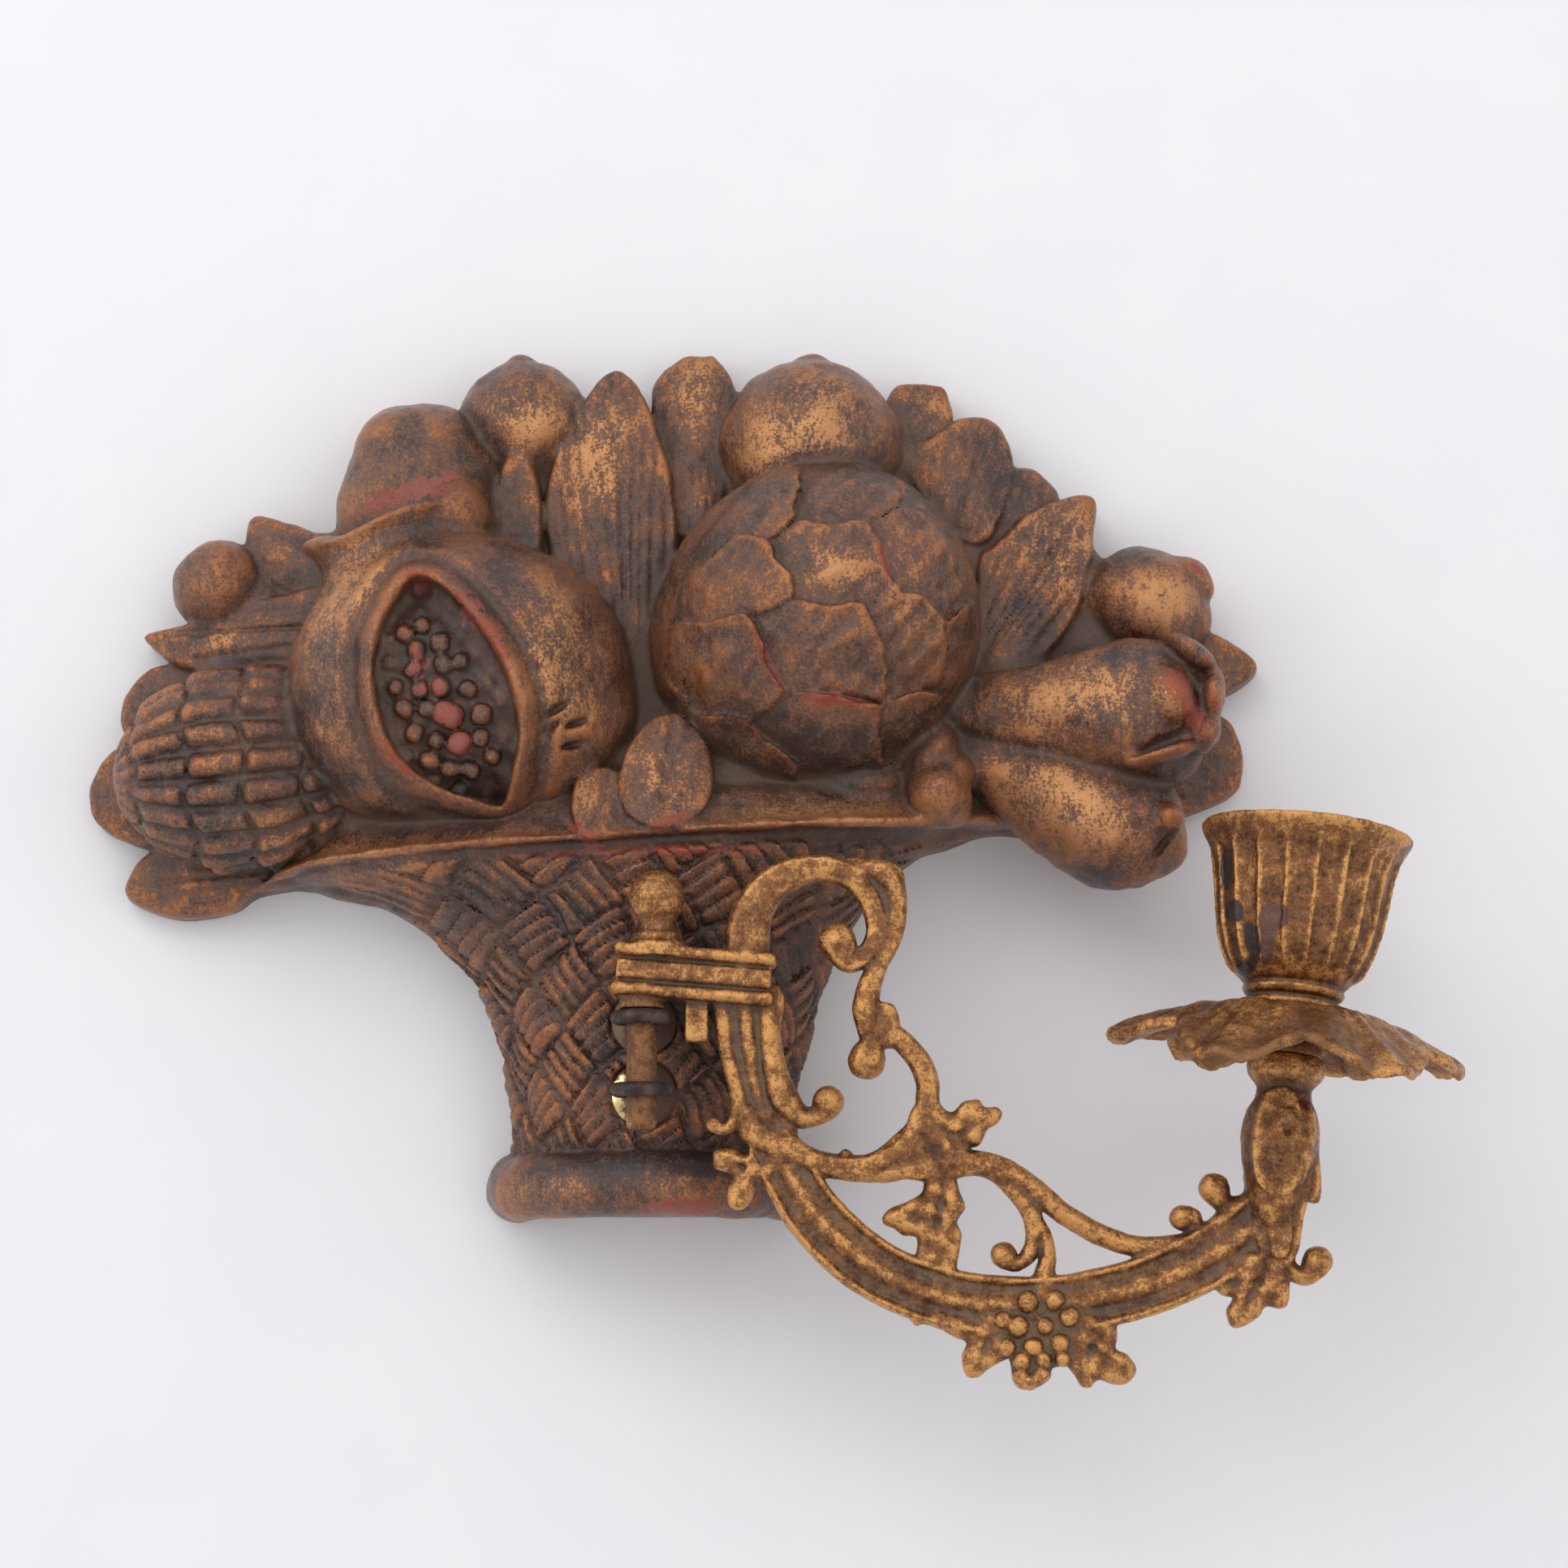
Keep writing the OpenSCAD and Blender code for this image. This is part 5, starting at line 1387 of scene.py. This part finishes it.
def giltwood():
    """Worn gilding on carved wood; the attributes say where it is raised, hollow or worn through, and where
    highlight and shade are painted.
    """
    n = Nodes("giltwood")
    edge, cav, deep = n.attr("edge"), n.attr("cav"), n.attr("deep")
    gold_and_highlight_at, red_at, dark_and_shade_at = n.attr("gold"), n.attr("red"), n.attr("dark")
    fine = n.noise(1500, 6, 0.75)
    blot = n.noise(430, 6, 0.72, n.coords((1.4, 1, 0.7), (0, 0.5, 0)))
    patch = n.noise(70, 4, 0.6)
    wide = n.noise(22, 3, 0.5)
    # dark brown size coat, uneven, with blackened places, and painted shade at the dark spots
    ground = n.mix(n.ramp(patch, 0.35, 0.65), lin(52, 31, 23), lin(86, 55, 41))
    black = n.add(n.mul(dark_and_shade_at, 0.55), n.vary(blot, 1.6), n.math("SUBTRACT", wide, 0.5))
    ground = n.mix(n.ramp(black, 0.22, 0.62), ground, lin(44, 36, 36))
    # worn gold, in specks that close up where the surface is raised; the dark spots thin it out as painted
    # shade
    much = n.add(0.20, n.mul(n.ramp(cav, 0.58, 0.36), 0.34), n.mul(gold_and_highlight_at, 0.34), n.mul(dark_and_shade_at, -0.26),
                 n.ramp(edge, 0.44, 0.30, 0.0, 0.22))
    total = n.add(much, n.vary(fine, 2.3), n.vary(blot, 1.6), n.vary(patch, 1.0))
    gold = n.ramp(total, 0.49, 0.61)
    base = n.mix(n.mul(n.ramp(total, 0.05, 0.55), 0.8), ground, lin(126, 82, 56))
    # the gold is lighter at the gold spots and where the patch noise is high: a painted highlight
    gold_and_highlight = n.mix(n.ramp(n.add(gold_and_highlight_at, patch), 0.5, 1.3), lin(168, 110, 72), lin(206, 148, 98))
    col = n.mix(n.mul(gold, 0.85), base, gold_and_highlight)
    # red clay where edges are rubbed through, and in stray specks
    rub = n.add(n.ramp(edge, 0.42, 0.28, 0.0, 0.30), n.mul(red_at, 0.85), n.vary(blot, 1.5),
                n.vary(n.noise(620, 3, 0.6), 1.1))
    clay = n.mix(fine, lin(118, 40, 30), lin(176, 92, 70))
    col = n.mix(n.mul(n.ramp(rub, 0.38, 0.54), 0.80), col, clay)
    # warm dust in the hollows
    dust = n.add(n.ramp(cav, 0.52, 0.68, 0.0, 0.7), n.ramp(deep, 0.57, 0.80, 0.0, 0.65))
    dust = n.math("MULTIPLY", dust, n.ramp(n.noise(240, 4, 0.65), 0.32, 0.6, 0.45, 1.0), clamp=True)
    col = n.mix(n.mul(dust, 0.78), col, n.mix(fine, lin(70, 50, 39), lin(104, 82, 66)))
    # the flat back is bare old wood
    bare = n.attr("bare")
    ring = n.noise(90, 5, 0.6, n.coords((7.0, 1, 0.35)))
    wood = n.mix(n.ramp(ring, 0.36, 0.62), lin(74, 52, 36), lin(122, 90, 62))
    col = n.mix(bare, col, n.mix(n.mul(patch, 0.5), wood, lin(66, 48, 36)))
    gold = n.mul(gold, n.math("SUBTRACT", 1.0, bare))
    dust = n.add(dust, n.mul(bare, 1.2))
    rough = n.add(n.mul(dust, 0.30), n.ramp(fine, 0.3, 0.7, 0.18, 0.36))
    metal = n.mul(gold, n.ramp(dust, 0.0, 0.6, 0.70, 0.0))
    height = n.add(n.mul(gold, 0.3), n.mul(fine, 0.9), n.mul(blot, 0.6))
    return n.shader(col, rough, metal, n.bump(height, 0.5, 0.0005), Specular_IOR_Level=0.6)


def plain_metal(name, tone_a, tone_b, rough, metal):
    """A metal that shifts between two tones."""
    n = Nodes(name)
    grain = n.noise(1500, 2, 0.6)
    col = n.mix(n.ramp(n.noise(300, 4, 0.6), 0.35, 0.68), lin(*tone_a), lin(*tone_b))
    dull = n.ramp(grain, 0.3, 0.7, rough - 0.08, rough + 0.12)
    return n.shader(col, dull, metal, n.bump(grain, 0.15, 0.0002))


def bronzed_iron():
    """Bronze paint on iron, worn and chipped, with old dust in the hollows, painted shade there and painted
    highlights on raised parts.
    """
    n = Nodes("bronzed_iron")
    edge, cav, deep, dark = n.attr("edge"), n.attr("cav"), n.attr("deep"), n.attr("dark")
    patch = n.noise(90, 4, 0.6)
    blot = n.noise(420, 5, 0.68)
    fine = n.noise(1700, 5, 0.72)
    # painted light over random tone: lighter on raised parts, up to a painted highlight tone, and darker in
    # the hollows as painted shade
    tone_and_painted_light = n.add(n.mul(n.ramp(cav, 0.58, 0.34), 0.50), n.vary(blot, 1.7), n.vary(fine, 1.3),
                   n.vary(patch, 0.8))
    col = n.mix(n.ramp(tone_and_painted_light, -0.25, 0.30), lin(78, 50, 35), lin(138, 93, 57))
    col = n.mix(n.ramp(tone_and_painted_light, 0.24, 0.62), col, lin(214, 156, 92))
    # brown-purple where the paint has gone thin, and at the dark spots, which are partly painted shade
    worn = n.add(n.ramp(edge, 0.40, 0.26, 0.0, 0.3), n.vary(patch, 2.0), n.vary(blot, 1.2),
                 n.mul(dark, 0.5))
    col = n.mix(n.mul(n.ramp(worn, 0.30, 0.56), 0.72), col, lin(88, 56, 44))
    # grey-brown dust in the hollows, which also serves as painted shade there
    dust_and_shade = n.add(n.ramp(cav, 0.50, 0.63, 0.0, 0.8), n.ramp(deep, 0.5, 0.70, 0.0, 0.40))
    dust_and_shade = n.math("ADD", dust_and_shade, n.vary(blot, 0.9), clamp=True)
    col = n.mix(n.mul(dust_and_shade, 0.80), col, n.mix(fine, lin(80, 64, 48), lin(112, 100, 78)))
    # bare iron, and black chips
    bare = n.ramp(n.add(n.attr("bare"), n.vary(blot, 0.9)), 0.50, 0.66)
    col = n.mix(bare, col, n.mix(fine, lin(84, 56, 52), lin(124, 92, 80)))
    black = n.ramp(n.add(n.attr("black"), n.vary(blot, 1.3)), 0.52, 0.68)
    col = n.mix(n.mul(black, 0.95), col, lin(38, 32, 32))
    rough = n.add(n.ramp(fine, 0.3, 0.7, 0.20, 0.40), n.mul(dust_and_shade, 0.22))
    metal = n.mul(n.ramp(dust_and_shade, 0.0, 0.7, 0.75, 0.25), n.ramp(black, 0.0, 1.0, 1.0, 0.2))
    height = n.add(n.mul(fine, 0.9), n.mul(blot, 0.9))
    return n.shader(col, rough, metal, n.bump(height, 0.5, 0.0004))


def brass_washer():
    """Brass that is shiny, with a painted highlight, only at the lower left edge; the rest is brown with
    age and painted shade.
    """
    n = Nodes("brass_washer")
    tex = n.new("ShaderNodeTexCoord")
    part = n.new("ShaderNodeSeparateXYZ")
    n.link(tex.outputs["Object"], part.inputs[0])
    blot = n.noise(500, 4, 0.6)
    # painted light: the pale brass is a painted highlight along the lower left edge, strongest on the lower
    # rosette; the brown elsewhere is partly painted shade
    left = n.ramp(n.add(n.mul(part.outputs[0], -1000), n.vary(blot, 5)), 3.6, 5.0)
    low = n.ramp(part.outputs[2], -0.1105, -0.1125)
    shine_and_highlight = n.mul(left, n.add(0.12, n.mul(low, 0.88)))
    brown = n.mix(blot, lin(72, 46, 38), lin(104, 70, 56))
    col = n.mix(shine_and_highlight, brown, n.mix(blot, lin(214, 176, 104), lin(242, 222, 170)))
    return n.shader(col, n.ramp(shine_and_highlight, 0, 1, 0.62, 0.28), shine_and_highlight, n.bump(blot, 0.3, 0.0003))


# ---- pieces and carried-over parts ----

GILT = giltwood()
BRONZE = bronzed_iron()
WIRE = plain_metal("dark_wire", (52, 42, 38), (92, 78, 68), 0.5, 0.5)
BRASS = brass_washer()
STEEL = plain_metal("hanger_steel", (96, 92, 88), (140, 134, 126), 0.42, 0.9)

for piece, node, body, slot, mat in (
        (plaque_piece(), "relief_plaque", "plaque", "giltwood", GILT),
        (arm_piece(), "swing_arm", "arm", "bronzed_iron", BRONZE),
        (pan_piece(), "drip_pan", "arm", "bronzed_iron", BRONZE),
        (cup_piece(), "candle_cup", "arm", "bronzed_iron", BRONZE)):
    piece.data.materials.append(mat)
    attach(piece, body)
    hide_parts(node)

for node, mat in (("upper_screw_eye", WIRE), ("lower_screw_eye", WIRE), ("upper_rosette", BRASS),
                  ("lower_rosette", BRASS), ("hanger_plate", STEEL), ("hanger_screws", STEEL),
                  ("cup_screw", STEEL)):
    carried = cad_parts[node].data
    carried.materials.clear()
    carried.materials.append(mat)


# ---- table top, light, camera ----

TABLE_AT = 0.0004       # the table lies this far behind the wall side of the plaque
TABLE_HALF = 3.0
TABLE_CLEAR = 0.002     # rays shorter than this pass the table, so that the back isn't dark
CAMERA_AIM = Vector((0.0295, 0, -0.048))    # middle of the picture, on the wall
CAMERA_FAR = 0.9                            # from there to the camera
CAMERA_TILT = math.radians(98)              # the camera looks 8 degrees up


def table_top():
    """A pale table behind the plaque; from behind it lets light and view through."""
    n = Nodes("table_top")
    geo = n.new("ShaderNodeNewGeometry")
    b = n.new("ShaderNodeBsdfPrincipled")
    grain = n.noise(30, 3, 0.5)
    n.link(n.mix(grain, lin(236, 235, 238), lin(242, 241, 243)), b.inputs["Base Color"])
    b.inputs["Roughness"].default_value = 0.6
    clear = n.new("ShaderNodeBsdfTransparent")
    mixer = n.new("ShaderNodeMixShader")
    path = n.new("ShaderNodeLightPath")
    close = n.math("LESS_THAN", path.outputs["Ray Length"], TABLE_CLEAR)
    n.link(n.math("MAXIMUM", close, geo.outputs["Backfacing"]), mixer.inputs[0])
    n.link(b.outputs[0], mixer.inputs[1])
    n.link(clear.outputs[0], mixer.inputs[2])
    n.tree.links.new(mixer.outputs[0], n.out.inputs["Surface"])
    me = bpy.data.meshes.new("table_top")
    y, s = TABLE_AT, TABLE_HALF
    me.from_pydata([(-s, y, -s), (s, y, -s), (s, y, s), (-s, y, s)], [], [(0, 1, 2, 3)])
    me.materials.append(n.mat)
    add_object("table_top", me)


def area(name, at, look, size, power, color=(1, 1, 1)):
    light = bpy.data.lights.new(name, "AREA")
    light.shape = "RECTANGLE"
    light.size, light.size_y = size
    light.energy = power
    light.color = color
    ob = add_object(name, light)
    ob.location = at
    ob.rotation_euler = (Vector(look) - Vector(at)).to_track_quat("-Z", "Y").to_euler()


table_top()
area("key", (-0.75, -1.05, 0.9), (0.04, -0.02, -0.05), (1.0, 1.0), 5.4, (1.0, 0.985, 0.97))
area("fill", (0.95, -1.1, 0.1), (0.02, -0.02, -0.05), (1.2, 1.2), 3.3)
area("top", (0.05, -1.5, 0.9), (0.02, 0, -0.05), (1.6, 1.0), 3.0)
area("window", (-1.15, -0.75, 0.12), (0.02, -0.02, -0.05), (0.4, 0.8), 2.8, (0.92, 0.96, 1.0))
area("low", (0.0, -1.3, -0.95), (0.02, 0, -0.1), (1.4, 0.8), 0.9)

world = bpy.data.worlds.new("studio")
bpy.context.scene.world = world
world.use_nodes = True
background = world.node_tree.nodes["Background"].inputs
background["Color"].default_value = (0.93, 0.925, 0.945, 1)
background["Strength"].default_value = 0.70

cam = bpy.data.cameras.new("camera")
cam.sensor_width = 36
cam.lens = 93.168       # the picture is 0.348 m across at the wall
cam.clip_start = 0.05
cam_ob = add_object("camera", cam)
cam_ob.location = CAMERA_AIM - CAMERA_FAR * Vector((0, math.sin(CAMERA_TILT), -math.cos(CAMERA_TILT)))
cam_ob.rotation_euler = (CAMERA_TILT, 0, 0)
bpy.context.scene.camera = cam_ob
bpy.context.scene.view_settings.view_transform = "Standard"
